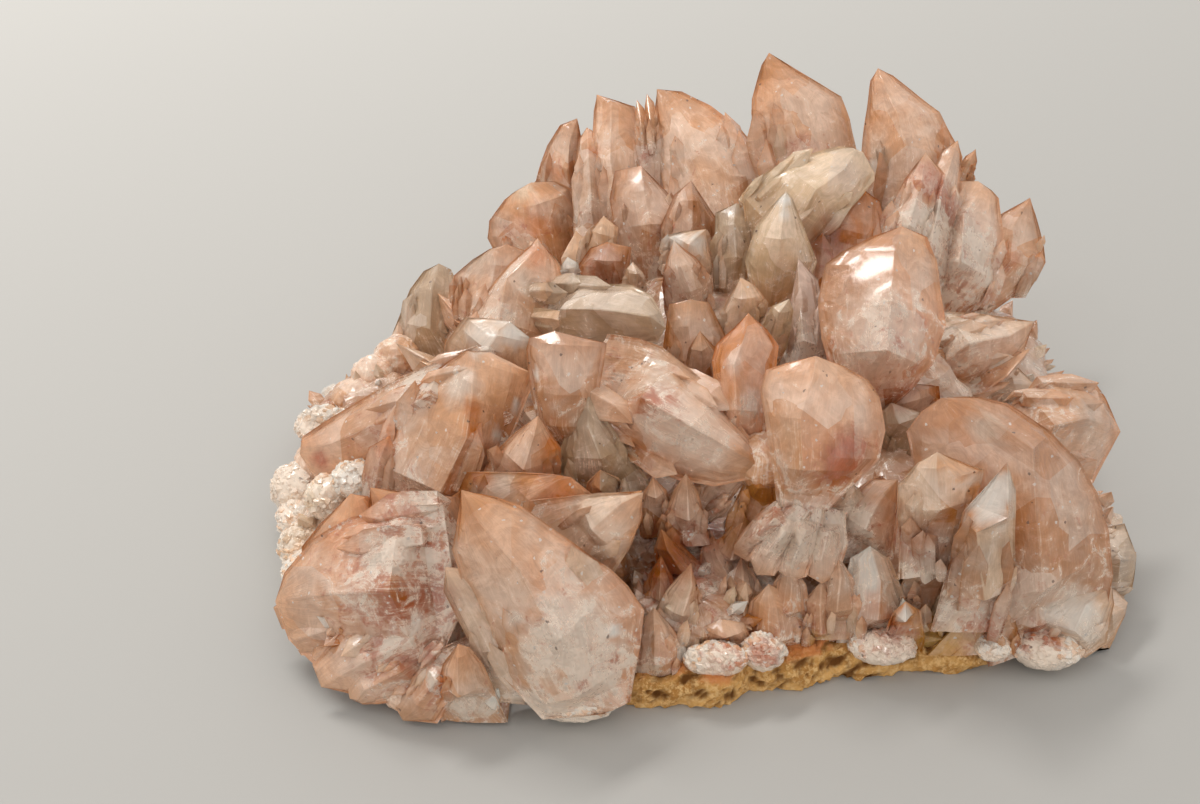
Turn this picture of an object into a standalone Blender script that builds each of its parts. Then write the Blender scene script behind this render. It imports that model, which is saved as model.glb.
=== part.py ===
"""A cluster of pink calcite crystals on a thin crust of ochre limonite.

The origin is the middle of the underside, +X runs along the long side, +Y to the back and +Z up.
Sizes in the tables are millimetres.
"""

import math
import random

import bmesh
import bpy
from mathutils import Vector

MM = 0.001
FRONT_TILT = 38.0
UNDERSIDE = 0.5
CRUST_GAP = 0.35
ROOT_DEPTH = 11.0
ROOT_INWARD = 0.8
ROOT_FLOOR = 6.5
RIM_SEED = 11

# Each crystal: name, tip, foot, turn about its length in degrees, depth behind its broad face,
# the outline of the broad face as (across, down from the tip),
# and the front edge as (across, down from the tip, height above the broad face).
CRYSTALS = [
    ("spire_left", (12, 41.5, 44), (18, 27, 22), 0, 6,
     [(-1.5, 1.5), (-4, 6), (-4.5, 8), (-5, 13.5), (-5.5, 26), (9, 8.5), (9.5, 12), (9.5, 16.5),
      (6, 28.5)],
     [(0.5, 7.5, 3.5), (1, 13, 5), (0.5, 22, 5)]),
    ("spire_right", (27.5, 38.5, 43), (33.5, 23.5, 20), 0, 6,
     [(-1.5, 1.5), (-2.5, 4.5), (-4.5, 10), (-7, 18.5), (-7.5, 25), (2, 1.5), (7.5, 8), (8.5, 12),
      (9.5, 15), (6.5, 28)],
     [(0, 3, 2), (0.5, 7, 4.5), (0.5, 12.5, 6), (-0.5, 22, 6)]),
    ("fan_blade_a", (38.5, 30, 36), (33, 12.5, 22), 0, 5,
     [(-2, 2), (-4, 10.5), (-3, 22.5), (1, 2), (2, 8.5), (3, 20.5)],
     [(-1.5, 9.5, 4), (-1.5, 19, 5)]),
    ("fan_blade_b", (42.5, 26.5, 31), (37.5, 14.5, 19), 0, 7,
     [(-3.5, -1), (-5.5, 6.5), (-4, 16.5), (2.5, 1.5), (4.5, 6.5), (5.5, 14.5)],
     [(-2.5, 6.5, 4), (-1.5, 13.5, 6)]),
    ("red_wing", (51, 32.5, 25), (47, 24.5, 14), 0, 4,
     [(-3.5, 3.5), (-4.5, 7.5), (-3.5, 11), (-1.5, 14), (1.5, 2), (4, 6), (5, 8.5), (4.5, 11.5)],
     [(-1.5, 5, 1.5), (-0.5, 10, 3)]),
    ("small_tip", (41.5, 31, 34), (39.5, 29.5, 29), 0, 2,
     [(-1, 1.5), (-1, 5.5), (1, 1.5), (1.5, 4.5)],
     [(-0.5, 2.5, 1.5)]),
    ("rear_curved", (-4, 45.5, 36), (3.5, 26, 20), 0, 6,
     [(-1.5, 3.5), (-3, 9), (-3.5, 17), (-4.5, 24), (3.5, 1.5), (7, 5), (10, 9.5), (11.5, 13.5),
      (11.5, 17.5), (7, 27)],
     [(1, 8, 2.5), (1.5, 17, 4), (1.5, 23.5, 5)]),
    ("block_left", (-13, 49.5, 33), (-9, 32, 18), 0, 7,
     [(-1, 2.5), (-2, 7), (-3.5, 13.5), (-3.5, 22), (2.5, 1.5), (5.5, 3), (7, 10.5), (5, 23.5)],
     [(2, 2, 1), (0, 12, 4), (0, 20.5, 5)]),
    ("step_a", (-7, 44, 35), (-5.5, 35.5, 28), 0, 3,
     [(-0.5, 2), (-1.5, 9.5), (1, 1.5), (2, 10.5)],
     [(0, 5, 2)]),
    ("step_b", (-5.5, 45, 35.5), (-4.5, 35.5, 28), 0, 3,
     [(-0.5, 2), (-1, 10.5), (1, 1.5), (2, 11.5)],
     [(0, 5, 2)]),
    ("curved_left", (-16, 47.5, 30), (-18.5, 44, 15), 0, 6,
     [(-2.5, 1.5), (-4, 5), (-4.5, 8), (-5, 12.5), (-3.5, 16), (0.5, 1), (1.5, 4), (3, 8.5), (4, 14.5)],
     [(-0.5, 3, 2), (0, 7, 4)]),
    ("petal", (-24, 38, 24), (-21, 33.5, 13), 0, 6,
     [(-3.5, 1.5), (-6.5, 4), (-7.5, 6.5), (-6.5, 10.5), (4, 0), (7, 2.5), (7.5, 7), (5.5, 12.5)],
     [(1, 3, 3), (0.5, 7.5, 4)]),
    ("amber_columns", (-14.5, 46.5, 29), (-13.5, 29, 18), 0, 5,
     [(-1.5, 2), (-2.5, 9), (-3, 19.5), (2, 1.5), (3, 9), (3, 20)],
     [(0, 7, 3), (0, 15.5, 3)]),
    ("brown_mid_a", (-6.5, 31.5, 31), (-5.5, 23, 20), 0, 5,
     [(-4, 0.5), (-5, 4.5), (-4.5, 12), (3, 3.5), (6.5, 7.5), (6, 13.5)],
     [(0, 4, 3), (0.5, 9, 5)]),
    ("brown_mid_b", (0.5, 26.5, 31.5), (0.5, 20, 22), 0, 4,
     [(-2.5, 2), (-4.5, 6.5), (-3.5, 11.5), (2, 3), (4.5, 6.5), (3.5, 11.5)],
     [(0, 3, 3), (0, 8, 3)]),
    ("grey_ovoid", (-36, 24, 19), (-39, 15.5, 7), 0, 5,
     [(-2, 1.5), (-3.5, 4.5), (-4, 9), (-5, 13), (-4, 16), (2, 0.5), (4, 3), (4.5, 7), (4, 11.5),
      (3, 14.5)],
     [(0, 4, 2.5), (1, 9.5, 4)]),
    ("wedge_plate", (-21, 12, 31), (-24.5, 2, 21), 0, 5,
     [(-3, 4.5), (-5.5, 10), (-7, 13.5), (-6.5, 16), (1.5, 1), (3.5, 2.5), (5, 5), (6, 8), (7, 12.5)],
     [(0.5, 1.5, 1.2), (-2.5, 7, 3.5), (-2, 13, 5)]),
    ("wedge_back", (-27, 20, 25), (-28, 13, 14), 0, 4,
     [(-3.5, 2.5), (-6, 5), (-6, 10), (-5, 13), (4.5, -0.5), (5.5, 4.5), (5.5, 12)],
     [(0, 3, 2), (-0.5, 8, 3)]),
    ("long_grey", (-4, -6.5, 30), (-22, 5.5, 24), 0, 4,
     [(-2, 1.5), (-3.5, 3), (-4.5, 6), (-4, 11.5), (-4, 18), (-3, 23), (2.5, 0), (2, 4), (2.5, 10),
      (3, 17), (3, 22)],
     [(-0.5, 1, 2.5), (-0.5, 7, 5), (0, 13.5, 5)]),
    ("shell_left", (-52.5, -10, 12), (-29, -15, 24), 0, 5,
     [(1.5, 1), (2.5, 5), (4, 11), (5.5, 18), (6, 26), (6.5, 30), (-2, -0.5), (-6, 3), (-7.5, 11),
      (-5, 21), (-5, 25.5)],
     [(-0.5, 6.5, 2), (0.5, 15.5, 3.5), (2, 24.5, 5)]),
    ("great_left", (-28.5, -11.5, 30), (-35.5, -22.5, 13), 0, 8,
     [(-2.5, 3), (-6, 8.5), (-7, 15), (-7, 21.5), (-4.5, 23), (3, -2), (8, -3), (9, 0), (8, 5),
      (6.5, 11.5), (4.5, 17.5), (4, 20)],
     [(1, 1.5, 2), (2.5, 6, 5.5), (3.5, 10.5, 6.5), (2.5, 18, 5)]),
    ("facet_top", (-25, -7.5, 31.5), (-28, -9, 24), 0, 4,
     [(-4.5, 2), (-5.5, 6), (-5, 9.5), (4, -1.5), (3.5, 1), (3, 5)],
     [(0.5, 1.5, 2.2), (0, 3.5, 3)]),
    ("tan_block", (-17, -14, 34), (-18, -21.5, 22), 0, 5,
     [(-4, 0), (-4.5, 2.5), (-3.5, 8), (-2.5, 11.5), (5.5, 1), (5, 5.5), (2.5, 10), (0.5, 13)],
     [(0, 1.5, 2), (0, 7.5, 3.5), (0, 11.5, 2)]),
    ("great_diagonal", (7.5, -24.5, 21), (-13, -13, 27), 0, 6,
     [(-2, 2), (-3.5, 5.5), (-5, 9.5), (-6, 12.5), (-7, 18.5), (-6.5, 21.5), (-5, 25.5), (2, 0.5),
      (5, 4), (6.5, 8), (7.5, 13.5), (6.5, 18.5), (3, 22.5)],
     [(0, 4, 4), (0, 9, 7.5), (0, 16, 8)]),
    ("grey_clear", (-14, -18.5, 28), (-12, -24.5, 15), 0, 5,
     [(-2.5, 3), (-4.5, 6.5), (-6, 9.5), (-5.5, 13.5), (1.5, 4.5), (4.5, 9), (6, 12), (6.5, 15.5)],
     [(-0.5, 3.5, 2), (0.5, 7.5, 4)]),
    ("small_pink", (-20, -23, 28), (-22, -24.5, 15), 0, 5,
     [(-2.5, 3), (-4.5, 6), (-6, 10), (-6, 14), (1.5, 2), (3.5, 4), (3.5, 7.5), (4.5, 11.5)],
     [(0, 1.5, 2.5), (-0.5, 5.5, 4)]),
    ("rear_plate", (-16.5, -30.5, 25), (-22, -29, 10), 0, 4,
     [(-5, 3), (-11, 7), (-11, 11), (-7.5, 18), (1.5, -0.5), (4, 1), (7, 7)],
     [(-2.5, 4.5, 2), (-1.5, 8.5, 3)]),
    ("front_blade", (-28.5, -35.5, 27), (-16, -49, 2.5), 0, 6,
     [(-0.5, 3), (-3, 4.5), (-4, 6), (-4.5, 9.5), (-4.5, 15.5), (-5, 22.5), (-3, 29), (3.5, 2.5),
      (5.5, 4.5), (7, 8), (8, 10.5), (10.5, 13.5), (12, 16), (13, 18.5), (13.5, 22), (11.5, 25.5), (7.5, 30), (5, 31.5)],
     [(0.5, 4, 2), (2.5, 10.5, 4), (3, 19.5, 5.5), (2, 27, 4)]),
    ("second_leaf", (-30.5, -40, 19), (-22.5, -47, 3), 0, 5,
     [(-1.5, 2.5), (-1.5, 5.5), (-1.5, 10), (-1.5, 14.5), (-1.5, 18), (2, 1), (2.5, 7), (3, 14),
      (2.5, 20.5)],
     [(0.5, 3, 1.2), (0.5, 11, 2)]),
    ("triangle_behind", (-7.5, -31, 23), (-19.5, -29, 10), 0, 4,
     [(-2.5, 5), (-5, 10), (-7.5, 15.5), (-5.5, 19.5), (3, 2.5), (4.5, 6), (6, 10.5), (7.5, 16)],
     [(0.5, 3, 2), (0, 6.5, 4)]),
    ("fan_top_a", (-43, -27, 19), (-38.5, -33, 6), 0, 5,
     [(-2, 1), (-5, 2.5), (-8, 4.5), (-9, 8), (-6.5, 13), (2, 1), (2.5, 5.5), (3.5, 15.5)],
     [(-0.5, 2.5, 2), (-1, 7.5, 3.5)]),
    ("fan_top_b", (-40.5, -27, 20), (-36, -32.5, 8), 0, 5,
     [(-1, 2), (-2, 6.5), (-2.5, 11.5), (4, 2), (5.5, 6.5), (5, 14.5)],
     [(1, 2.5, 1.5), (1.5, 7.5, 3)]),
    ("fan_top_c", (-33.5, -28, 20), (-34, -32.5, 8), 0, 5,
     [(-2.5, 1.5), (-3.5, 6.5), (-2.5, 12.5), (4, 0.5), (4.5, 3.5), (3.5, 11.5)],
     [(0.5, 2.5, 1.5), (0.5, 6.5, 2.5)]),
    ("fan_blade_1", (-49.5, -31, 9), (-30.5, -29.5, 17), 0, 4,
     [(1.5, 4.5), (2.5, 10.5), (3, 17.5), (-2, -0.5), (-3.5, 5.5), (-2.5, 12.5), (-3, 18.5)],
     [(-0.5, 6, 2), (0, 14.5, 3)]),
    ("fan_blade_2", (-53, -33.5, 6), (-34, -34, 12), 0, 4,
     [(1, 2), (2.5, 5.5), (3, 12.5), (4, 19), (-3, 0.5), (-3.5, 5.5), (-2.5, 12.5), (-3, 19)],
     [(-0.5, 4.5, 2), (0.5, 13, 3.5)]),
    ("fan_blade_3", (-50.5, -37.5, 4), (-36.5, -38.5, 9), 0, 3,
     [(2, -1), (3.5, 2), (4, 9), (3, 14), (-2, 1), (-3, 6), (-2.5, 12)],
     [(0.5, 3.5, 2), (1, 9.5, 3)]),
    ("fan_blade_4", (-47.5, -40, 3), (-34.5, -42, 9), 0, 3,
     [(2, -2), (2.5, 2), (3, 9), (2, 14.5), (-3, 3), (-3, 8.5), (-2.5, 14)],
     [(0, 3.5, 2), (0.5, 10, 3)]),
    ("fan_blade_5", (-42, -45.5, 1.5), (-32.5, -43.5, 8), 0, 3,
     [(3.5, 0), (4, 2), (3, 7.5), (2, 11.5), (-1.5, 2.5), (-2.5, 5), (-2.5, 10.5)],
     [(1, 3, 2), (0.5, 8.5, 3)]),
    ("fan_blade_6", (-36, -47.5, 1), (-30, -44.5, 8), 0, 3,
     [(2.5, 1), (3, 4), (3, 9), (-3.5, 2.5), (-3, 6), (-2.5, 10.5)],
     [(0, 3.5, 2), (0, 7.5, 2.5)]),
    ("hollow_floor", (-40.5, -35.5, 7), (-31.5, -36.5, 10), 0, 4,
     [(1.5, 1.5), (2.5, 5.5), (3, 10.5), (-2.5, 0), (-5.5, 3.5), (-6.5, 8)],
     [(-1, 3.5, 1.2), (-1, 7.5, 1.5)]),
    ("small_front_left", (-29, -45.5, 12), (-29, -47.5, 1), 0, 4,
     [(-2, 3), (-3.5, 8.5), (-2.5, 11.5), (1.5, 0.5), (3, 3), (3.5, 5.5), (2, 10.5)],
     [(0, 1, 1.5), (0, 5.5, 3)]),
    ("clear_chip", (-24.5, -46, 5), (-29.5, -46.5, 0.5), 0, 2,
     [(-1, 4), (-1.5, 8), (1, 0.5), (2.5, 2), (1.5, 4.5)],
     [(0.5, 2, 1.2)]),
    ("little_peak", (-1.5, -34, 14), (-3.5, -39.5, 4), 0, 4,
     [(-1, 1.5), (-2.5, 4), (-3.5, 7), (-2.5, 11.5), (1.5, 3), (2, 6), (1.5, 8.5), (2, 11.5)],
     [(0.5, 2.5, 1.5), (0, 6, 2.5)]),
    ("mid_peak", (-2, -25.5, 21), (-1.5, -28.5, 11), 0, 4,
     [(-1.5, 2), (-3, 5.5), (-4, 9.5), (1.5, 2.5), (2, 6), (3, 10)],
     [(0, 1.5, 2), (0, 5, 3)]),
    ("cavity_plate", (5.5, -23.5, 20), (0, -25, 13), 0, 3,
     [(-2.5, 3), (-3.5, 5.5), (-2, 8.5), (1, 0.5), (1, 3.5), (1.5, 7)],
     [(-1, 3, 1.5)]),
    ("cavity_lump", (8, -23.5, 20), (5.5, -27, 12), 0, 4,
     [(-2, 2), (-2.5, 5), (-2.5, 9), (1.5, 1), (2.5, 3.5), (3, 7.5)],
     [(-0.5, 2, 2.5)]),
    ("cavity_floor", (0.5, -20.5, 9), (0, -28.5, 4), 0, 4,
     [(-4.5, 1), (-5.5, 6), (-5.5, 9.5), (5, -1), (6, 4), (6, 9)],
     [(0, 3.5, 0.5), (0, 7, 0.5)]),
    ("clear_rhomb", (3.5, -33, 11), (3, -34.5, 5), 0, 2,
     [(-1, 2), (-1.5, 4.5), (-1.5, 6), (2, 2.5), (1.5, 4), (2, 5.5)],
     [(0.5, 1, 2)]),
    ("fan_root_a", (3.5, -30.5, 13), (10.5, -30, 20), 0, 3,
     [(1, 3), (1.5, 6), (1.5, 8.5), (-2.5, 0), (-3, 4), (-3, 8)],
     [(-0.5, 3.5, 2), (0, 8, 3)]),
    ("fan_root_b", (6.5, -34, 12), (11.5, -30, 20), 0, 3,
     [(2, 1.5), (2, 5.5), (1.5, 9), (-2, 1), (-2, 5.5), (-2, 10)],
     [(0.5, 3, 2), (0, 7, 3)]),
    ("fan_root_c", (10.5, -34.5, 11.5), (13, -29.5, 20), 0, 3,
     [(2, 1), (2, 4.5), (1.5, 9.5), (-2, 1), (-2.5, 5.5), (-2, 9.5)],
     [(0.5, 3, 2), (0, 7, 3)]),
    ("fan_root_d", (14.5, -34.5, 11), (15, -28, 19), 0, 3,
     [(2, 1), (2, 4.5), (1.5, 9.5), (-2, 1), (-3, 5), (-2.5, 9)],
     [(0.5, 3, 2), (0, 6.5, 3)]),
    ("fan_root_e", (24, -25.5, 20), (18.5, -30.5, 11), 0, 4,
     [(-3, 1.5), (-4.5, 5), (-4, 9.5), (-2, 12.5), (2, 2.5), (3, 5.5), (4.5, 9)],
     [(-1, 3, 2), (-1, 7, 3)]),
    ("pale_front", (20.5, -31, 14), (20.5, -38.5, 3), 0, 5,
     [(-2.5, 1.5), (-3.5, 6.5), (-4, 12), (2.5, 1.5), (3, 5.5), (4.5, 6.5), (5.5, 10.5), (4.5, 12)],
     [(1, 4, 2.5), (0.5, 8.5, 3.5)]),
    ("front_lump_a", (2, -38.5, 9), (2, -40.5, 2), 0, 4,
     [(-2, 1), (-2.5, 4.5), (-2.5, 7), (3, 0.5), (4, 3), (4, 7)],
     [(0.5, 1.5, 2)]),
    ("front_lump_b", (8, -34.5, 11), (9, -40, 2), 0, 5,
     [(-2.5, 2), (-3.5, 5.5), (-3.5, 10), (3.5, 2), (5, 6), (4, 10)],
     [(0.5, 2.5, 2.5), (0.5, 6.5, 3)]),
    ("front_lump_c", (14.5, -34, 11), (15, -38.5, 2), 0, 4,
     [(-2.5, 2.5), (-3, 6), (-2.5, 9.5), (2, 2.5), (2.5, 6.5), (2, 9.5)],
     [(-0.5, 2.5, 2), (-0.5, 6, 2.5)]),
    ("under_blade", (-6, -37.5, 10), (-6, -43.5, 1.5), 0, 5,
     [(-1.5, 1.5), (-3, 6), (-3.5, 9.5), (-1.5, 11), (2, 2), (4, 5), (4, 10)],
     [(0, 3, 2.5), (0, 6.5, 3)]),
    ("orange_peak", (6, -10, 34), (5.5, -21.5, 22), 0, 4,
     [(-1.5, 2), (-4, 4), (-4.5, 6), (-4, 10), (-2, 14.5), (2.5, 2), (4, 4), (3.5, 6.5), (2, 8.5),
      (2, 12), (2.5, 16)],
     [(-0.5, 2.5, 2), (-2, 7, 4), (-1.5, 12.5, 4)]),
    ("round_top", (13.5, -19, 34), (12.5, -30, 19), 0, 6,
     [(-3.5, 1), (-6, 2), (-6.5, 4.5), (-5.5, 9.5), (-4, 14), (-2, 18.5), (3.5, 1), (6.5, 2.5),
      (8, 4.5), (9, 8.5), (8.5, 12), (6, 14.5), (2.5, 18.5)],
     [(-0.5, 2.5, 2), (-2, 7.5, 5), (-1.5, 13.5, 6)]),
    ("great_upper_right", (27, 5.5, 37), (24, -12, 22), 0, 7,
     [(-4, 2), (-7.5, 4.5), (-9.5, 6.5), (-10, 11.5), (-9, 16.5), (-6.5, 19), (-3.5, 21), (3.5, 1),
      (5, 4), (4.5, 8), (7, 12.5), (6, 17.5), (3.5, 21.5)],
     [(-1, 4, 2.5), (-1.5, 12, 6), (-1.5, 18.5, 6.5)]),
    ("pointed_right", (47.5, 8, 20), (31.5, 2.5, 19), 0, 5,
     [(-1, 3), (-3, 7.5), (-4.5, 12.5), (3.5, 2.5), (5, 5), (6, 9.5), (6.5, 15)],
     [(1, 5, 2), (0.5, 12.5, 5)]),
    ("little_notch", (37, 4, 23), (34.5, 1.5, 18), 0, 2,
     [(-1.5, 2), (-2, 5.5), (1.5, 2.5), (2, 5)],
     [(0, 3, 1.5)]),
    ("low_pale_right", (48, 4, 12), (43.5, 4.5, 10), 0, 4,
     [(-3, 1.5), (-3.5, 4), (1.5, 1), (1.5, 4.5)],
     [(-1, 2.5, 2)]),
    ("great_right", (29, -23, 31), (40, -38, 3), 0, 8,
     [(-2.5, 0), (-6, 2.5), (-6.5, 8), (-6, 19), (-4.5, 30.5), (4, 1.5), (7, 3.5), (10.5, 8),
      (13, 13), (14, 17.5), (14, 22.5), (13, 28), (10, 34)],
     [(3.5, 3.5, 2), (7, 8.5, 4.5), (4.5, 16.5, 6), (3, 25, 5.5)]),
    ("bright_wedge", (34.5, -33.5, 29.5), (34, -40, 7), 0, 7,
     [(-2, 3), (-4.5, 6.5), (-4.5, 11), (-4, 16), (-2, 21.5), (1.5, 3.5), (1.5, 8.5), (2.5, 14),
      (2, 18.5), (2, 22.5)],
     [(0, 5.5, 3.5), (-3.5, 7.5, 3.5), (-1.5, 16.5, 3)]),
    ("curved_shells", (27, -30.5, 28.5), (29, -36, 14), 0, 6,
     [(-2.5, 1), (-5, 3.5), (-5, 7), (-3.5, 12.5), (5.5, 3), (3, 6.5), (2, 11.5), (1.5, 15.5)],
     [(-0.5, 1.5, 1.5), (-0.5, 6.5, 2)]),
    ("round_lump", (28, -32, 15), (28.5, -35.5, 5), 0, 5,
     [(-2.5, 0.5), (-3.5, 3), (-3, 6.5), (-2, 10), (2, 1), (3, 4), (2.5, 7.5), (1.5, 10.5)],
     [(-1, 2, 3.5)]),
    ("grey_columns", (29, -34.5, 10), (30, -37, 2), 0, 4,
     [(-1, 2), (-2, 7.5), (2, 0), (4, 3.5), (4.5, 8.5)],
     [(0.5, 2.5, 2)]),
    ("tan_column", (41, -31.5, 12), (41, -38, 2), 0, 5,
     [(-2.5, 2), (-3.5, 6), (-3.5, 11), (2, 2), (3, 6), (3.5, 11)],
     [(-0.5, 3, 2.5), (-0.5, 7.5, 3)]),
    ("cracked_facets", (50.5, -33, 9), (44.5, -38.5, 3), 0, 5,
     [(-3, 1.5), (-4.5, 4), (-4, 9), (-1, 10.5), (1.5, 1.5), (3.5, 6), (2.5, 9)],
     [(-2, 4, 2.5), (-1.5, 7.5, 3)]),
    ("back_right_cap", (56, -10, 15), (42, -15.5, 20), 0, 5,
     [(-4.5, 3), (-6, 4.5), (-6.5, 8), (-6, 12.5), (-3, 18.5), (3.5, 2.5), (7, 4.5), (7, 8.5), (4, 13.5)],
     [(-1.5, 8.5, 3), (-0.5, 16, 5)]),
    ("right_lump_a", (56, -25.5, 6.5), (49.5, -28, 7), 0, 4,
     [(-2, 0), (-5, 1), (-4.5, 3.5), (-3, 6), (3.5, 1.5), (5, 4.5), (3.5, 7)],
     [(-1, 4.5, 3)]),
    ("right_lump_b", (54, -31.5, 4), (48.5, -33.5, 3), 0, 4,
     [(-2, -0.5), (-3, 2.5), (1, 2), (4, 4.5), (3.5, 7)],
     [(-0.5, 3.5, 2.5)]),
    ("yellow_block", (31, -34.5, 5), (29.5, -38.5, 1.5), 0, 4,
     [(-3.5, 1.5), (-3, 5.5), (1.5, 0.5), (2.5, 3)],
     [(-1, 3, 2)]),
    ("cream_wing", (23.5, 24.5, 38), (11.5, 16, 31), 0, 5,
     [(-2, 2), (-3.5, 5), (-4, 7.5), (-6, 12), (-6, 17), (3.5, 0), (5, 1.5), (5.5, 5), (6, 9.5),
      (2.5, 14)],
     [(1, 4.5, 2.5), (0.5, 10, 4)]),
    ("cream_block", (12.5, 13.5, 37.5), (12.5, 8, 26), 0, 5,
     [(-2, 2), (-4, 4.5), (-5.5, 9.5), (-4, 12.5), (1, 1), (2, 4), (4.5, 9.5), (3.5, 12.5)],
     [(-0.5, 2, 2), (-1, 6, 4)]),
    ("mauve_column", (14, 7, 31), (14.5, -5.5, 21), 0, 4,
     [(-1, 4), (-2, 9), (-2.5, 13.5), (2.5, 3), (3, 7.5), (2.5, 11.5), (3, 14.5)],
     [(-0.5, 5, 2.5), (-0.5, 12.5, 4)]),
    ("cream_glint", (12, -2.5, 31), (10.5, -4, 24), 0, 3,
     [(-2, 1.5), (-2.5, 4.5), (-1.5, 7), (1, 1.5), (1.5, 6.5)],
     [(-1, 1.5, 2)]),
    ("pale_mid", (6, 2.5, 31), (6, -1.5, 22), 0, 4,
     [(-1.5, 2.5), (-3, 5.5), (-2.5, 9), (2, 1), (3.5, 3), (3, 9)],
     [(0, 2.5, 2.5)]),
    ("grey_spotted", (6.5, 19.5, 32), (6, 11.5, 23), 0, 4,
     [(-3, 1.5), (-3, 6.5), (-2, 11.5), (2.5, 1), (3, 6.5), (2.5, 11.5)],
     [(-0.5, 3.5, 2.5), (0, 8, 3)]),
    ("bright_mid", (2, 13.5, 31.5), (-1, 11, 24), 0, 4,
     [(-3, 1.5), (-5, 3), (-3.5, 7.5), (0, 2.5), (3, 5)],
     [(-1.5, 2.5, 1.8)]),
    ("mid_small", (-2.5, 11.5, 31), (-0, 6.5, 22), 0, 4,
     [(-1.5, 2), (-3, 5.5), (-3.5, 9), (2.5, 3), (4, 6), (3, 10)],
     [(0, 3.5, 2.5), (0.5, 7, 3)]),
    ("amber_mid", (-11.5, 16.5, 27.5), (-12, 12, 20), 0, 4,
     [(-2.5, 1), (-4, 3.5), (-3.5, 8.5), (3.5, 0.5), (3, 3.5), (2.5, 8)],
     [(0, 2.5, 3)]),
    ("white_bit", (-17, 13.5, 27), (-16.5, 11.5, 23), 0, 2,
     [(-1, 1), (-1.5, 4), (1.5, 1), (1.5, 4)],
     [(0, 1.5, 1.2)]),
    ("pale_lump", (-8, 11.5, 27.5), (-8, 9, 23), 0, 3,
     [(-1, 1), (-1.5, 4.5), (1.5, 1.5), (2, 4.5)],
     [(0.5, 1.5, 2)]),
    ("brown_gap", (-0.5, 1, 28.5), (-0, -6, 18), 0, 4,
     [(-3, 0.5), (-4, 6), (-3, 11), (2.5, 0.5), (4.5, 5), (3.5, 12)],
     [(-0.5, 3.5, 2), (0, 8, 3)]),
    ("clear_small", (-12, 21, 29), (-14, 17.5, 23), 0, 2.5,
     [(-1.5, 2.5), (-2, 5.5), (-1.5, 7.5), (2.5, 1), (3.5, 5.5)],
     [(0.5, 2.5, 1.5)]),
    ("gap_floor", (24, 22, 33), (21, 9, 23), 0, 4,
     [(-3, 3.5), (-7, 7), (-6, 12), (-4, 17), (3, 1.5), (5, 7), (3, 15.5)],
     [(-1.5, 7, 1)]),
    ("fan_top_right", (33, 25, 37), (29, 13.5, 26), 0, 5,
     [(-2, 4.5), (-3.5, 10.5), (-3, 16), (3.5, 2.5), (3.5, 9), (3.5, 14.5)],
     [(0, 5.5, 2.5), (-0.5, 12, 4)]),
    ("shadow_right", (27, -8.5, 22), (28.5, -10.5, 14), 0, 4,
     [(-3.5, 0), (-4, 6), (4.5, 1.5), (4.5, 8)],
     [(-0.5, 2.5, 1)]),
    ("grey_right_gap", (25, -11.5, 21), (26.5, -14.5, 12), 0, 3,
     [(-1.5, 1), (-1.5, 5), (-1, 8.5), (4, 2), (3, 5.5), (2, 9)],
     [(0.5, 2.5, 1.5)]),
]

# Rounded nodules and druse: name, centre, half sizes.
NODULES = [
    ("pale_nodule", (-51, 1.5, 6.5), (4.4, 3.6, 3.0)),
    ("brown_nodule", (-50.5, -7, 7.5), (3.6, 4.2, 3.4)),
    ("white_nodule", (-53.5, -10.5, 5.5), (3.6, 4.0, 3.6)),
    ("cream_nodule", (-48, -16.5, 9), (3.2, 3.4, 3.4)),
    ("left_druse_a", (-52.5, -15, 4), (3.2, 3.6, 3.2)),
    ("left_druse_b", (-51.5, -20.5, 4), (3.2, 3.6, 3.4)),
    ("left_druse_c", (-50, -26, 4), (3.4, 4.0, 3.4)),
    ("ledge_a", (-47.5, 7.5, 7), (3.6, 3.4, 3.0)),
    ("ledge_b", (-45, 11.5, 8), (3.6, 3.4, 3.2)),
    ("ledge_c", (-42, 14.5, 9), (3.6, 3.6, 3.4)),
    ("ledge_d", (-31.3, 21.4, 14.2), (4.2, 3.6, 4.0)),
    ("ledge_e", (-26.3, 24.4, 16.2), (4.0, 3.6, 4.2)),
    ("bright_druse", (-44, -17.5, 13), (3.2, 3.0, 2.6)),
    ("front_druse_a", (1.5, -41.6, 5.2), (4.2, 2.2, 2.4)),
    ("front_druse_b", (7.3, -40.4, 5.2), (2.8, 2.4, 2.6)),
    ("front_druse_c", (22, -38.8, 4.4), (4.4, 2.4, 2.2)),
    ("front_druse_d", (35.5, -38.4, 4), (2.2, 2.0, 1.8)),
    ("front_druse_e", (42.5, -38, 3), (4.6, 2.6, 2.6)),
    ("left_foot", (-35.5, -44.5, 2.4), (3.2, 2.6, 2.4)),
    ("blade_foot", (-15.5, -46, 2.6), (5.6, 2.6, 2.6)),
    ("middle_druse", (7.5, -22, 20), (4, 4, 4)),
]

# The mass that the crystals grow from: centre, half sizes.
MOUNDS = [
    ((14, 10, 2), (38, 32, 23)),
    ((-22, -8, 2), (26, 27, 15)),
    ((24, -15, 2), (30, 22, 14)),
    ((-5, 28, 2), (22, 14, 19)),
    ((-29, -22, 2), (19, 20, 9.5)),
    ((42, -18, 2), (16, 18, 10)),
    ((-42, -14, 3), (12, 18, 7)),
    ((-42, 6, 3), (13, 12, 7.5)),
    ((-26, 20, 3), (14, 12, 14)),
    ((38, 16, 3), (18, 18, 12)),
    ((26, -29, 3), (20, 7.5, 6)),
    ((-1, -34, 6), (9, 6, 4)),
    ((6, -25, 6), (16, 8, 4.5)),
    ((-40, -34, 6), (8, 8, 5)),
]

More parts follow.
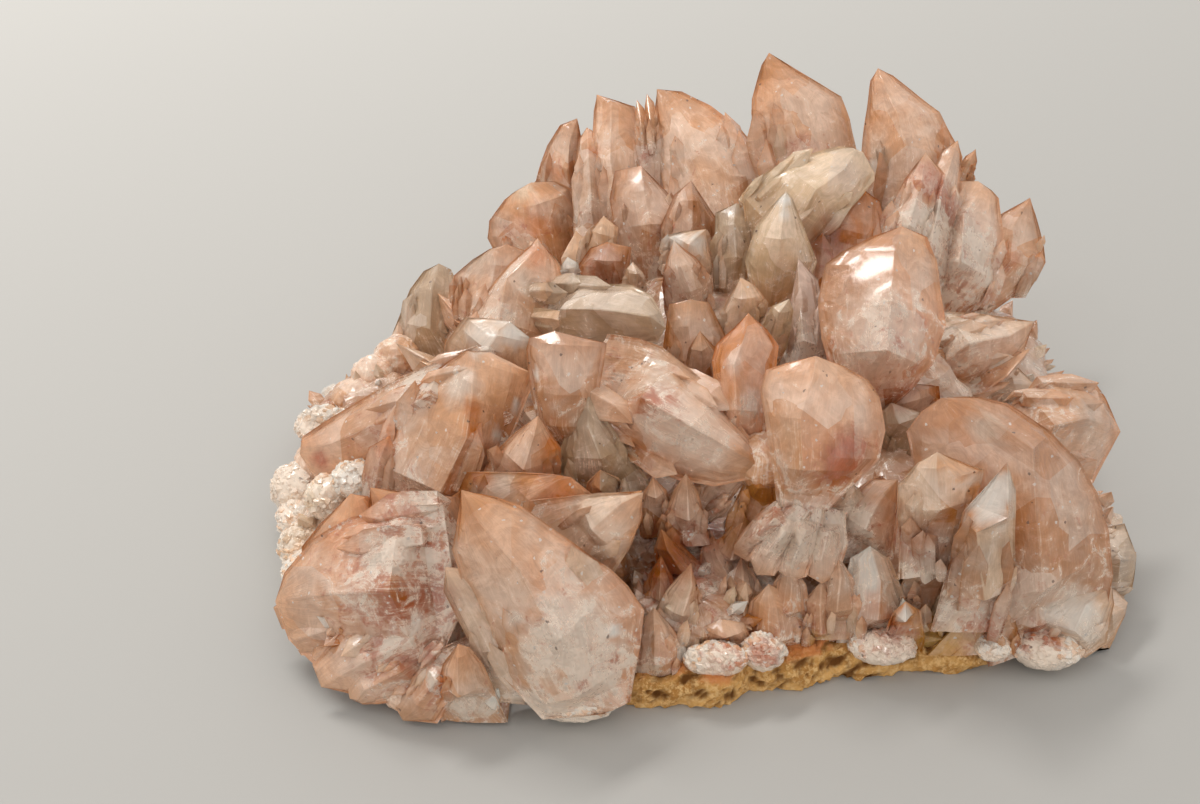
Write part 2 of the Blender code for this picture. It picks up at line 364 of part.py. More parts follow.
# Blocks of the crust beneath: centre across and back, half sizes across and back, height.
CRUST = [
    ((0, 4), (38, 34), 5.4),
    ((16, -8), (34, 28), 5.0),
    ((-6, -40), (6.5, 5.0), 4.0),
    ((0.5, -40.5), (5.5, 4.6), 4.6),
    ((9, -37), (7.5, 5.4), 4.4),
    ((19, -35), (8.5, 5.4), 3.8),
    ((30, -33.5), (9.5, 5.8), 3.6),
    ((8, -28), (18, 14), 4.8),
]

STONE = {
    "calcite_crystals": ((0.60, 0.37, 0.28, 1.0), 0.35),
    "ochre_matrix": ((0.42, 0.20, 0.05, 1.0), 0.9),
}


def collection(name, hidden=False):
    made = bpy.data.collections.new(name)
    bpy.context.scene.collection.children.link(made)
    made.hide_render = hidden
    return made


def hull(name, points, home):
    """The convex solid around the points, given in millimetres."""
    bm = bmesh.new()
    for point in points:
        bm.verts.new([value * MM for value in point])
    made = bmesh.ops.convex_hull(bm, input=bm.verts)
    spare = [item for item in made["geom_interior"] if isinstance(item, bmesh.types.BMVert)]
    bmesh.ops.delete(bm, geom=spare, context="VERTS")
    bmesh.ops.recalc_face_normals(bm, faces=bm.faces)
    mesh = bpy.data.meshes.new(name)
    bm.to_mesh(mesh)
    bm.free()
    body = bpy.data.objects.new(name, mesh)
    home.objects.link(body)
    return body


def axes(tip, foot, turn):
    """The crystal's length, its across direction and the outward direction of its broad face."""
    tip, foot = Vector(tip), Vector(foot)
    along = (tip - foot).normalized()
    tilt = math.radians(FRONT_TILT)
    front = Vector((0, -math.cos(tilt), math.sin(tilt)))
    face = (front - along * front.dot(along)).normalized()
    across = along.cross(face)
    angle = math.radians(turn)
    face = face * math.cos(angle) + across * math.sin(angle)
    return along, along.cross(face), face


def crystal(name, tip, foot, turn, behind, outline, edge, home):
    """A flattened crystal: its broad outline, a raised front edge and a blunter back."""
    along, across, face = axes(tip, foot, turn)
    tip = Vector(tip)
    points = [tip]
    for side, down in outline:
        points.append(tip + across * side - along * down)
    for side, down, height in edge:
        points.append(tip + across * side - along * down + face * height)
    length = max(down for side, down in outline)
    middle = sum(side for side, down in outline) / len(outline)
    points.append((foot[0] * ROOT_INWARD, foot[1] * ROOT_INWARD, max(foot[2] - ROOT_DEPTH, ROOT_FLOOR)))
    for share, depth in ((0.42, 0.8), (0.92, 1.0)):
        points.append(tip + across * middle * share - along * length * share - face * behind * depth)
    return hull(name, points, home)


def nodule(name, centre, half, home, dice):
    """A rounded many-sided lump."""
    points = []
    for row, height in enumerate((-0.8, -0.15, 0.5, 0.88)):
        ring = math.sqrt(1 - height * height)
        for step in range(5):
            angle = math.radians(72 * step + 36 * (row % 2)) + dice.uniform(-0.2, 0.2)
            grow = dice.uniform(0.88, 1.06)
            points.append((centre[0] + half[0] * ring * grow * math.cos(angle),
                           centre[1] + half[1] * ring * grow * math.sin(angle),
                           centre[2] + half[2] * height * grow))
    return hull(name, points, home)


def rim_crystals(home):
    """Crystals round the back and both ends, leaning outwards from the middle."""
    for level, count, start, end, reach, low, size in (
        (0, 17, -38, 212, 1.0, 1.5, 12),
        (1, 13, -16, 194, 0.86, 8, 13),
        (2, 8, 15, 165, 0.70, 14, 12),
    ):
        for step in range(count):
            dice = random.Random(RIM_SEED + 100 * level + step)
            angle = math.radians(start + (end - start) * (step + dice.uniform(-0.25, 0.25)) / (count - 1))
            outward = Vector((math.cos(angle), math.sin(angle), 0))
            edge = Vector((46 * math.cos(angle) + 3, 40 * math.sin(angle) + 2, 0)) * reach
            foot = edge - outward * 7 + Vector((0, 0, low + 1.5))
            lift = (0.35, 0.75, 1.2)[level] + dice.uniform(-0.12, 0.2)
            lean = (outward + Vector((dice.uniform(-0.3, 0.3), dice.uniform(-0.3, 0.3), lift))).normalized()
            length = size * dice.uniform(0.8, 1.15)
            tip = foot + lean * length
            around = lean.orthogonal().normalized()
            beside = lean.cross(around)
            spin = dice.uniform(0, math.tau)
            wide, deep = dice.uniform(3.8, 5.2), dice.uniform(3.0, 4.2)
            points = [tip]
            for ring, down, radius in ((0, 0.30, 0.86), (1, 0.48, 0.98), (0, 1.0, 0.6)):
                for corner in range(3):
                    turn = spin + math.radians(120 * corner + 60 * ring)
                    flat = around * math.cos(turn) * wide + beside * math.sin(turn) * deep
                    points.append(tip - lean * length * down + flat * radius)
            hull(f"rim_{level}_{step}", points, home)


def crust_points(centre, half, height, dice, grow=0.0):
    """A flat, rough-edged block; grow widens and raises it for the hollow above it."""
    points = []
    for height_share, spread in ((-0.5, 0.97), (0.45, 1.0), (0.8, 0.93), (1.0, 0.8)):
        for step in range(10):
            angle = math.radians(36 * step) + dice.uniform(-0.12, 0.12)
            wobble = 1 + dice.uniform(-0.05, 0.04)
            points.append((centre[0] + (half[0] * spread * wobble + grow) * math.cos(angle),
                           centre[1] + (half[1] * spread * wobble + grow) * math.sin(angle),
                           height * height_share * wobble + grow * (1 if height_share > 0 else -1)))
    return points


def joined(name, home, pieces):
    """One solid from every body in the collection."""
    first = pieces.objects[0]
    body = bpy.data.objects.new(name, first.data)
    home.objects.link(body)
    pieces.objects.unlink(first)
    bpy.data.objects.remove(first)
    join = body.modifiers.new("join", "BOOLEAN")
    join.operation = "UNION"
    join.operand_type = "COLLECTION"
    join.collection = pieces
    join.solver = "EXACT"
    return body


def cut(body, label, cutter):
    trim = body.modifiers.new(label, "BOOLEAN")
    trim.operation = "DIFFERENCE"
    trim.object = cutter
    trim.solver = "EXACT"


def stone(body):
    colour, rough = STONE[body.name]
    made = bpy.data.materials.new(body.name)
    made.use_nodes = True
    surface = made.node_tree.nodes["Principled BSDF"]
    surface.inputs["Base Color"].default_value = colour
    surface.inputs["Roughness"].default_value = rough
    surface.inputs["Metallic"].default_value = 0.0
    body.data.materials.clear()
    body.data.materials.append(made)


for old in list(bpy.data.objects):
    bpy.data.objects.remove(old)

specimen = collection("pink_calcite_specimen")
crystal_pieces = collection("crystal_pieces", hidden=True)
crust_pieces = collection("crust_pieces", hidden=True)
hollow_pieces = collection("hollow_pieces", hidden=True)
cutters = collection("cutters", hidden=True)

# Crystals and what they grow from.
chance = random.Random(RIM_SEED)
for number, (centre, half) in enumerate(MOUNDS):
    nodule(f"mound_{number}", centre, half, crystal_pieces, chance)
for row in CRYSTALS:
    crystal(*row, crystal_pieces)
for name, centre, half in NODULES:
    nodule(name, centre, half, crystal_pieces, chance)
rim_crystals(crystal_pieces)
crystals = joined("calcite_crystals", specimen, crystal_pieces)

# The crust, and the hollow that keeps the crystals clear of it.
for number, (centre, half, height) in enumerate(CRUST):
    hull(f"crust_{number}", crust_points(centre, half, height, random.Random(number)), crust_pieces)
    hull(f"hollow_{number}",
         crust_points(centre, half, height, random.Random(number), CRUST_GAP), hollow_pieces)
matrix = joined("ochre_matrix", specimen, crust_pieces)
hollow = joined("crust_hollow", cutters, hollow_pieces)

# Both rest on one level.
below = hull("below_crust", [(x, y, z) for x in (-90, 90) for y in (-90, 90) for z in (-30, 0)], cutters)
under = hull("below_crystals",
             [(x, y, z) for x in (-90, 90) for y in (-90, 90) for z in (-30, UNDERSIDE)], cutters)
cut(matrix, "flat underside", below)
cut(crystals, "flat underside", under)
cut(crystals, "clear of the crust", hollow)

for piece in (crystals, matrix):
    stone(piece)
for group in (crystal_pieces, crust_pieces, hollow_pieces, cutters):
    for helper in group.objects:
        helper.hide_render = True
        helper.display_type = "WIRE"
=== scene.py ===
import math
import random

import bpy
import numpy as np
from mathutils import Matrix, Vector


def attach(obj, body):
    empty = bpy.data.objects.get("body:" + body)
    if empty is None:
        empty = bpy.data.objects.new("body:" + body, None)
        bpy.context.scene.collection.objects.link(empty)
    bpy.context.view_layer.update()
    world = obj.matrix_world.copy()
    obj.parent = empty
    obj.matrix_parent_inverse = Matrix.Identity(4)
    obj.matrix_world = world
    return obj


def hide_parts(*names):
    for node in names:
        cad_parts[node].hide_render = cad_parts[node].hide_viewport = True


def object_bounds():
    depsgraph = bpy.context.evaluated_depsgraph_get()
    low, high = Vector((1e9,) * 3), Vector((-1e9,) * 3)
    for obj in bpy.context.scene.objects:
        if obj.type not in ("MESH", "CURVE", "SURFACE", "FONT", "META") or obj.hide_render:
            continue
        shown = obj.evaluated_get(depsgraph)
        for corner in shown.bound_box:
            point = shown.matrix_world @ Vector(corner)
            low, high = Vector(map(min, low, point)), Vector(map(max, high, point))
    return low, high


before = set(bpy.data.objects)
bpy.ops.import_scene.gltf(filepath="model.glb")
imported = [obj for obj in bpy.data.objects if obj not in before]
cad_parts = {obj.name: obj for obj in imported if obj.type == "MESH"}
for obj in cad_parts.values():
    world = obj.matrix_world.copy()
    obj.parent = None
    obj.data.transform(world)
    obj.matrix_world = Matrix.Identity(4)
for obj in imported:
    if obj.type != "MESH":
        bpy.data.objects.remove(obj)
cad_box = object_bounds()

# The two tall pointed crystals at the back and the blades on the slope beside them.
# Each grew as a flattened point: a broad outline, a raised front edge and a blunter back.
# Sizes are millimetres: across from the middle line, down from the tip, and height off the broad face.

MM = 0.001
FRONT_TILT = 38.0
ROOT_DEPTH = 11.0
ROOT_INWARD = 0.8
ROOT_FLOOR = 6.5
UNDERSIDE = 0.5


def linear(red, green, blue):
    """A colour as seen, 0 to 255, as linear light."""
    seen = np.array((red, green, blue)) / 255.0
    return np.where(seen <= 0.04045, seen / 12.92, ((seen + 0.055) / 1.055) ** 2.4)


# Each kind of crystal: colour of its body, colour of its tip, share of white veils, share of red marks.
KINDS = {
    "pink": (linear(234, 189, 157), linear(232, 180, 145), 0.55, 0.55),
    "tan": (linear(210, 162, 130), linear(212, 162, 130), 0.50, 0.55),
    "streaked": (linear(232, 180, 148), linear(238, 194, 162), 0.92, 1.00),
    "pale": (linear(244, 212, 184), linear(244, 206, 176), 0.60, 0.20),
    "cream": (linear(246, 220, 190), linear(248, 222, 194), 0.50, 0.10),
    "grey": (linear(208, 180, 152), linear(214, 188, 162), 0.55, 0.20),
    "mauve": (linear(230, 202, 184), linear(234, 206, 190), 0.80, 0.10),
    "amber": (linear(226, 168, 122), linear(232, 176, 132), 0.30, 0.55),
    "orange": (linear(226, 164, 124), linear(230, 164, 122), 0.40, 0.45),
    "deep": (linear(208, 138, 92), linear(218, 152, 106), 0.20, 0.60),
    "brown": (linear(206, 148, 106), linear(216, 162, 120), 0.25, 0.55),
    "white": (linear(252, 246, 236), linear(254, 248, 238), 0.90, 0.05),
    "yellow": (linear(230, 192, 126), linear(236, 202, 142), 0.30, 0.30),
}


SMOOTH_ONES = ("round_top", "great_right", "great_upper_right", "right_face", "facet_top", "cream_block",
               "orange_peak", "tan_block", "fan_root_a", "fan_root_b", "fan_root_c", "fan_root_d", "fan_root_e")


# Where the calcite has a colour or a finish of its own, and where a glint, a reflection or the shade in a gap is
# painted into its colour: name, mark, place and reach in mm, and how strong.
PATCHES = [
    ("strip_upper", "orange", (-28.0, -20.2, 26.6), 1.1, 0.7),
    ("strip_lower", "orange", (-28.0, -21.7, 24.4), 1.1, 0.7),
    ("curved_patch", "orange", (-19.1, 43.7, 23.2), 1.7, 0.7),
    ("curved_stripe", "orange", (-13.7, 41.2, 27.7), 1.2, 0.7),
    ("petal_right", "orange", (-21.9, 32.7, 20.2), 2.7, 0.6),
    ("petal_left", "orange", (-25.8, 33.5, 18.2), 2.0, 0.6),
    ("petal_tip", "cream", (-24.1, 36.9, 23.3), 1.7, 0.7),
    ("shell_deep", "orange", (-40.0, -17.9, 21.0), 2.5, 0.75),
    ("fan_orange", "orange", (-42.6, -35.2, 17.2), 1.3, 0.7),
    ("blade_orange", "orange", (-20.4, -45.9, 16.3), 1.5, 0.55),
    ("blade_tan", "amber", (-26.8, -36.7, 26.1), 2.5, 0.5),
    ("plate_left", "orange", (-26.6, -28.0, 21.4), 1.1, 0.6),
    ("plate_grey", "grey", (-24.0, -29.0, 22.3), 1.4, 0.6),
    ("plate_right", "orange", (-17.8, -30.9, 23.6), 3.8, 0.6),
    ("spire_tip", "amber", (12.2, 39.1, 42.1), 3.8, 0.5),
    ("spire_red", "red", (16.8, 29.7, 34.6), 2.3, 0.7),
    ("spire_spot", "grey", (27.3, 29.6, 33.7), 1.9, 0.9),
    ("spire_white", "bright", (26.8, 29.3, 32.2), 0.9, 0.9),
    ("wisps_right", "red", (33.6, 21.3, 34.6), 2.6, 0.8),
    ("wisps_low", "red", (36.1, 20.0, 30.9), 2.3, 0.7),
    ("lumps_pale", "white", (37.6, 16.5, 27.8), 5.1, 0.55),
    ("lumps_pale_up", "white", (33.2, 16.6, 30.2), 2.8, 0.45),
    ("lumps_brown", "brown", (36.0, 16.5, 26.7), 1.1, 0.8),
    ("wing_orange", "orange", (47.3, 25.0, 19.1), 2.0, 0.8),
    ("wing_tip", "amber", (50.6, 30.4, 22.8), 1.8, 0.5),
    ("upper_white", "white", (21.4, -8.9, 30.6), 4.1, 0.5),
    ("upper_white_b", "white", (24.1, -7.1, 34.0), 2.6, 0.4),
    ("upper_red", "red", (25.3, -10.4, 29.8), 1.2, 0.9),
    ("notch_white", "white", (28.2, -5.0, 31.7), 1.0, 0.8),
    ("notch_red", "red", (28.6, -6.4, 30.1), 1.0, 0.9),
    ("below_dark", "brown", (25.8, -10.9, 22.3), 2.6, 0.8),
    ("edge_red", "brown", (16.8, -8.6, 27.2), 1.4, 0.6),
    ("great_blotch", "grey", (33.3, -26.6, 28.7), 2.0, 0.8),
    ("wedge_bright", "bright", (32.7, -35.3, 26.0), 3.1, 0.75),
    ("wedge_face", "grey", (32.2, -39.8, 19.9), 3.1, 0.45),
    ("right_dark", "brown", (25.8, -34.9, 17.8), 4.1, 0.75),
    ("shells_pale", "pale", (26.2, -33.4, 24.9), 3.3, 0.6),
    ("round_white", "white", (27.0, -35.9, 14.3), 2.7, 0.6),
    ("teeth_dark", "brown", (34.0, -39.1, 9.4), 2.5, 0.8),
    ("facets_bright", "bright", (45.8, -36.9, 8.6), 2.5, 0.75),
    ("facets_left", "bright", (43.0, -36.3, 8.0), 1.4, 0.7),
    ("facets_low", "white", (47.5, -37.6, 6.2), 2.0, 0.7),
    ("columns_grey", "white", (28.3, -38.7, 10.4), 1.5, 0.6),
    ("block_yellow", "yellow", (29.3, -37.6, 4.8), 3.0, 0.8),
    ("block_cream", "cream", (33.6, -38.8, 3.9), 1.1, 0.8),
    ("stain_a", "red", (-4.6, -43.3, 10.3), 1.5, 1.0),
    ("stain_b", "red", (2.4, -43.1, 6.4), 2.2, 1.0),
    ("stain_c", "red", (7.2, -42.2, 6.7), 1.9, 1.0),
    ("stain_d", "red", (22.5, -40.1, 6.1), 3.0, 1.0),
    ("stain_e", "red", (41.2, -39.0, 5.0), 2.3, 1.0),
    ("druse_a", "white", (1.3, -44.0, 4.3), 2.9, 0.9),
    ("druse_b", "white", (7.1, -41.8, 3.1), 2.2, 0.9),
    ("druse_c", "white", (22.6, -41.0, 4.7), 3.2, 0.9),
    ("druse_d", "white", (35.5, -40.3, 3.8), 1.3, 0.9),
    ("druse_e", "white", (41.2, -40.1, 3.4), 2.3, 0.9),
    ("lumps_grey", "grey", (52.6, -28.6, 9.3), 3.2, 0.6),
    ("front_white", "white", (20.0, -33.2, 12.4), 2.7, 0.7),
    ("front_stripe", "orange", (20.7, -37.6, 9.6), 2.5, 0.6),
    ("front_edge", "bright", (23.9, -40.0, 10.8), 1.1, 0.9),
    ("front_edge_b", "bright", (19.1, -38.3, 5.9), 0.7, 0.9),
    ("ochre_glow", "yellow", (14.4, -38.0, 4.9), 1.5, 0.7),
    ("fans_white", "white", (10.9, -33.1, 17.0), 5.3, 0.5),
    ("fans_white_b", "white", (18.0, -28.6, 17.4), 3.0, 0.45),
    # Painted shade: brown laid into the hollow, where shade falls between the crystals.
    ("cavity_painted_shade", "brown", (-1.1, -29.1, 10.7), 5.5, 0.85),
    ("cavity_painted_shade_b", "brown", (-6.4, -32.3, 10.3), 3.2, 0.7),
    ("cavity_painted_shade_c", "brown", (2.8, -22.2, 9.5), 3.3, 0.6),
    ("peak_grey", "grey", (-3.5, -38.2, 9.1), 1.2, 0.6),
    ("peak_white", "bright", (-2.5, -40.6, 5.5), 0.9, 0.9),
    ("peak_orange", "orange", (-7.4, -44.1, 11.6), 0.7, 0.9),
    ("blade_mottle", "white", (-15.7, -46.7, 15.1), 4.4, 1.0),
    ("blade_mottle_b", "white", (-12.5, -47.5, 9.7), 3.4, 0.95),
    ("blade_mottle_c", "white", (-19.4, -48.1, 10.4), 2.3, 0.4),
    ("blade_red", "red", (-14.2, -49.2, 8.7), 1.1, 1.0),
    ("blade_red_b", "red", (-11.0, -46.2, 10.0), 1.2, 1.0),
    ("blade_glint", "bright", (-10.8, -44.6, 13.0), 0.8, 1.0),
    ("blade_foot", "white", (-19.9, -48.4, 3.7), 3.0, 0.9),
    ("blade_streak", "white", (-22.2, -45.1, 15.8), 1.0, 0.8),
    ("small_orange", "orange", (-31.2, -47.1, 6.3), 1.3, 0.8),
    ("chip_white", "white", (-27.9, -47.0, 3.7), 2.2, 0.7),
    ("behind_grey", "grey", (-12.5, -34.0, 21.0), 4.0, 0.5),
    ("behind_glint", "bright", (-11.3, -33.6, 22.2), 0.7, 1.0),
    ("behind_tip", "bright", (-11.2, -39.4, 19.6), 0.6, 1.0),
    ("nodule_grey", "grey", (-52.5, 0.1, 8.7), 3.4, 0.6),
    ("nodule_red", "red", (-49.2, -12.6, 12.3), 1.3, 1.0),
    ("left_white", "white", (-54.8, -12.3, 8.2), 2.7, 0.95),
    ("left_cream", "cream", (-50.0, -18.3, 10.3), 3.2, 0.8),
    ("left_point", "cream", (-51.7, -21.3, 6.9), 2.6, 0.8),
    ("left_flakes", "bright", (-44.6, -19.3, 14.9), 1.7, 0.8),
    ("fan_tone", "orange", (-39.2, -35.6, 18.4), 6.2, 0.35),
    ("fan_flat", "brown", (-37.8, -31.4, 21.4), 2.2, 0.5),
    ("hollow_red", "brown", (-34.8, -41.7, 13.3), 5.2, 0.7),
    ("hollow_red_b", "red", (-32.7, -38.5, 13.9), 3.6, 0.8),
    ("hollow_glint", "bright", (-34.4, -42.0, 12.2), 0.7, 1.0),
    ("hollow_glint_b", "bright", (-36.5, -42.8, 11.0), 0.6, 1.0),
    ("ledges_grey", "grey", (-29.9, 18.2, 23.1), 2.6, 0.7),
    ("wedge_orange", "orange", (-21.0, 9.0, 30.0), 1.8, 0.7),
    ("wedge_specks", "grey", (-22.6, 5.5, 27.9), 1.9, 0.8),
    ("wedge_low", "grey", (-23.8, 1.8, 25.9), 2.4, 0.4),
    ("amber_deep", "brown", (-12.5, 13.0, 25.6), 2.8, 0.7),
    ("triangle_dark", "brown", (-5.7, 36.6, 29.8), 1.5, 0.8),
    ("middle_bright", "bright", (-2.7, 12.4, 30.5), 1.4, 0.9),
    ("middle_bright_b", "bright", (0.9, 12.1, 30.2), 1.2, 0.9),
    ("middle_amber", "brown", (-3.4, 8.2, 25.6), 2.7, 0.8),
    ("block_tri", "bright", (12.2, 12.5, 37.0), 1.0, 1.0),
    ("block_lines", "bright", (12.2, 10.4, 36.0), 0.8, 0.7),
    ("grey_a", "grey", (5.8, 18.4, 31.6), 1.1, 0.8),
    ("grey_b", "grey", (5.6, 14.0, 29.4), 1.5, 0.8),
    ("teeth_white", "bright", (13.5, -5.1, 23.9), 1.2, 0.8),
    ("glints_cream", "cream", (10.4, -4.4, 29.9), 1.8, 0.8),
    ("peak_mottle", "white", (6.1, -19.9, 26.9), 2.0, 0.7),
    ("peak_left", "pink", (3.1, -17.1, 32.0), 1.5, 0.8),
    # Painted shade: brown laid into a gap between crystals, where shade falls.
    ("gap_painted_shade", "brown", (18.5, 14.6, 28.9), 3.4, 0.75),
    ("diagonal_red", "red", (-5.3, -22.1, 29.7), 2.7, 0.9),
    ("diagonal_pale", "white", (-6.4, -17.1, 31.2), 3.7, 0.45),
    ("diagonal_mottle", "white", (-1.7, -25.3, 26.5), 4.8, 0.7),
    ("diagonal_mottle_b", "white", (-5.8, -23.3, 26.8), 2.7, 0.5),
    ("clear_grey", "grey", (-14.0, -22.6, 24.6), 2.9, 0.6),
    ("clear_feather", "white", (-14.0, -24.0, 21.0), 1.7, 0.7),
    ("clear_orange", "orange", (-18.6, -24.5, 24.4), 1.2, 0.8),
    ("facet_bright", "bright", (-23.0, -8.7, 30.1), 2.0, 0.9),
    ("facet_painted_reflection", "bright", (-27.4, -9.6, 29.9), 2.5, 0.55),
    ("flakes_white", "white", (-30.0, -16.6, 27.8), 2.2, 0.75),
    ("crack_dark", "brown", (-28.4, -27.8, 22.5), 1.2, 0.9),
    ("blade_edge", "bright", (-23.2, -16.3, 24.2), 0.8, 0.8),
    ("edge_b", "bright", (-25.4, -19.3, 21.8), 0.8, 0.8),
    ("edge_c", "bright", (-20.5, -17.5, 30.0), 0.6, 0.8),
    ("round_red", "brown", (17.4, -27.8, 25.8), 3.1, 0.65),
    ("round_red_b", "brown", (15.9, -29.3, 24.7), 2.6, 1.0),
    ("round_red_c", "deep_red", (17.0, -28.2, 26.4), 2.2, 0.9),
    ("round_clear", "grey", (10.0, -27.1, 29.1), 2.4, 0.4),
    ("great_pale", "grey", (28.2, -26.9, 25.8), 2.4, 0.35),
    ("right_smooth", "amber", (44.6, -30.2, 20.7), 3.7, 0.3),
    ("back_cap_grey", "grey", (51.1, -13.5, 18.9), 3.3, 0.4),
    ("cream_core", "cream", (14.9, 15.4, 32.6), 2.8, 0.6),
    ("wing_clear", "grey", (22.0, 20.1, 36.1), 2.2, 0.5),
]
STAINS = {
    "orange": (linear(226, 140, 88), 0.0, 0.3), "amber": (linear(222, 162, 120), 0.0, 0.2),
    "cream": (linear(255, 232, 206), 0.1, -0.2), "grey": (linear(206, 186, 168), 0.15, -0.3),
    "red": (linear(190, 104, 70), -0.1, 0.7), "deep_red": (linear(160, 78, 46), -0.4, 0.9), "brown": (linear(170, 96, 60), -0.2, 0.5),
    "white": (linear(255, 240, 226), 0.75, 0.1), "pale": (linear(250, 226, 204), 0.4, 0.0),
    "pink": (linear(244, 206, 184), 0.2, 0.0), "yellow": (linear(226, 178, 104), 0.0, 0.2),
    "bright": (linear(255, 250, 240), 0.2, -0.4),
}


def stain(points, tint, veil, red, gloss_and_painted_glint):
    """Each patch blends its colour and marks into the points within its reach, fading to its ragged edge."""
    for number, (name, mark, place, size, share) in enumerate(PATCHES):
        away = np.linalg.norm(points - np.array(place), axis=1)
        near = np.flatnonzero(away < size * 1.5)
        if not len(near):
            continue
        ragged = 1 + 0.35 * waves(points[near], size * 0.7, 40 + number)
        weight = np.clip(1.35 - away[near] / (size * ragged), 0, 1) ** 0.7 * share
        colour, veiled, reddened = STAINS[mark]
        tint[near] += (colour - tint[near]) * weight[:, None]
        veil[near] += veiled * weight
        red[near] += reddened * weight
        # Painted glint patches also raise the gloss mark: there the shader paints a white highlight into the colour
        # and smooths the surface.
        if mark == "bright":
            gloss_and_painted_glint[near] = np.maximum(gloss_and_painted_glint[near], weight)
    np.clip(veil, 0, 1, out=veil)
    np.clip(red, 0, 1.2, out=red)


def waves(points, length, seed):
    """Smooth unevenness from -1 to 1: six sine waves of about this length in mm, in random directions, added up."""
    dice = np.random.default_rng(seed)
    ways = dice.normal(size=(6, 3))
    ways *= math.tau / (length * np.linalg.norm(ways, axis=1, keepdims=True))
    phases = dice.uniform(0, math.tau, 6)
    return np.sin(points @ ways.T + phases).sum(axis=1) / 3.5


def crystal_axes(tip, foot, turn):
    """The crystal's length, its across direction and the outward direction of its broad face."""
    along = (tip - foot) / np.linalg.norm(tip - foot)
    tilt = math.radians(FRONT_TILT)
    front = np.array((0, -math.cos(tilt), math.sin(tilt)))
    face = front - along * front.dot(along)
    face /= np.linalg.norm(face)
    across = np.cross(along, face)
    angle = math.radians(turn)
    face = face * math.cos(angle) + across * math.sin(angle)
    return along, np.cross(along, face), face


def reach(marks, downs):
    """Leftmost and rightmost reach, at each distance down, of the straight lines between all the marks."""
    first, second = np.triu_indices(len(marks), 1)
    upper, lower = marks[first], marks[second]
    turned = upper[:, 1] > lower[:, 1]
    upper[turned], lower[turned] = lower[turned], upper[turned].copy()
    fall = lower[:, 1] - upper[:, 1]
    share = (downs[:, None] - upper[:, 1]) / np.maximum(fall, 1e-6)
    spans = (share >= -1e-9) & (share <= 1 + 1e-9) & (fall > 1e-6)
    side = upper[:, 0] + (lower[:, 0] - upper[:, 0]) * share
    return np.where(spans, side, np.inf).min(axis=1), np.where(spans, side, -np.inf).max(axis=1)


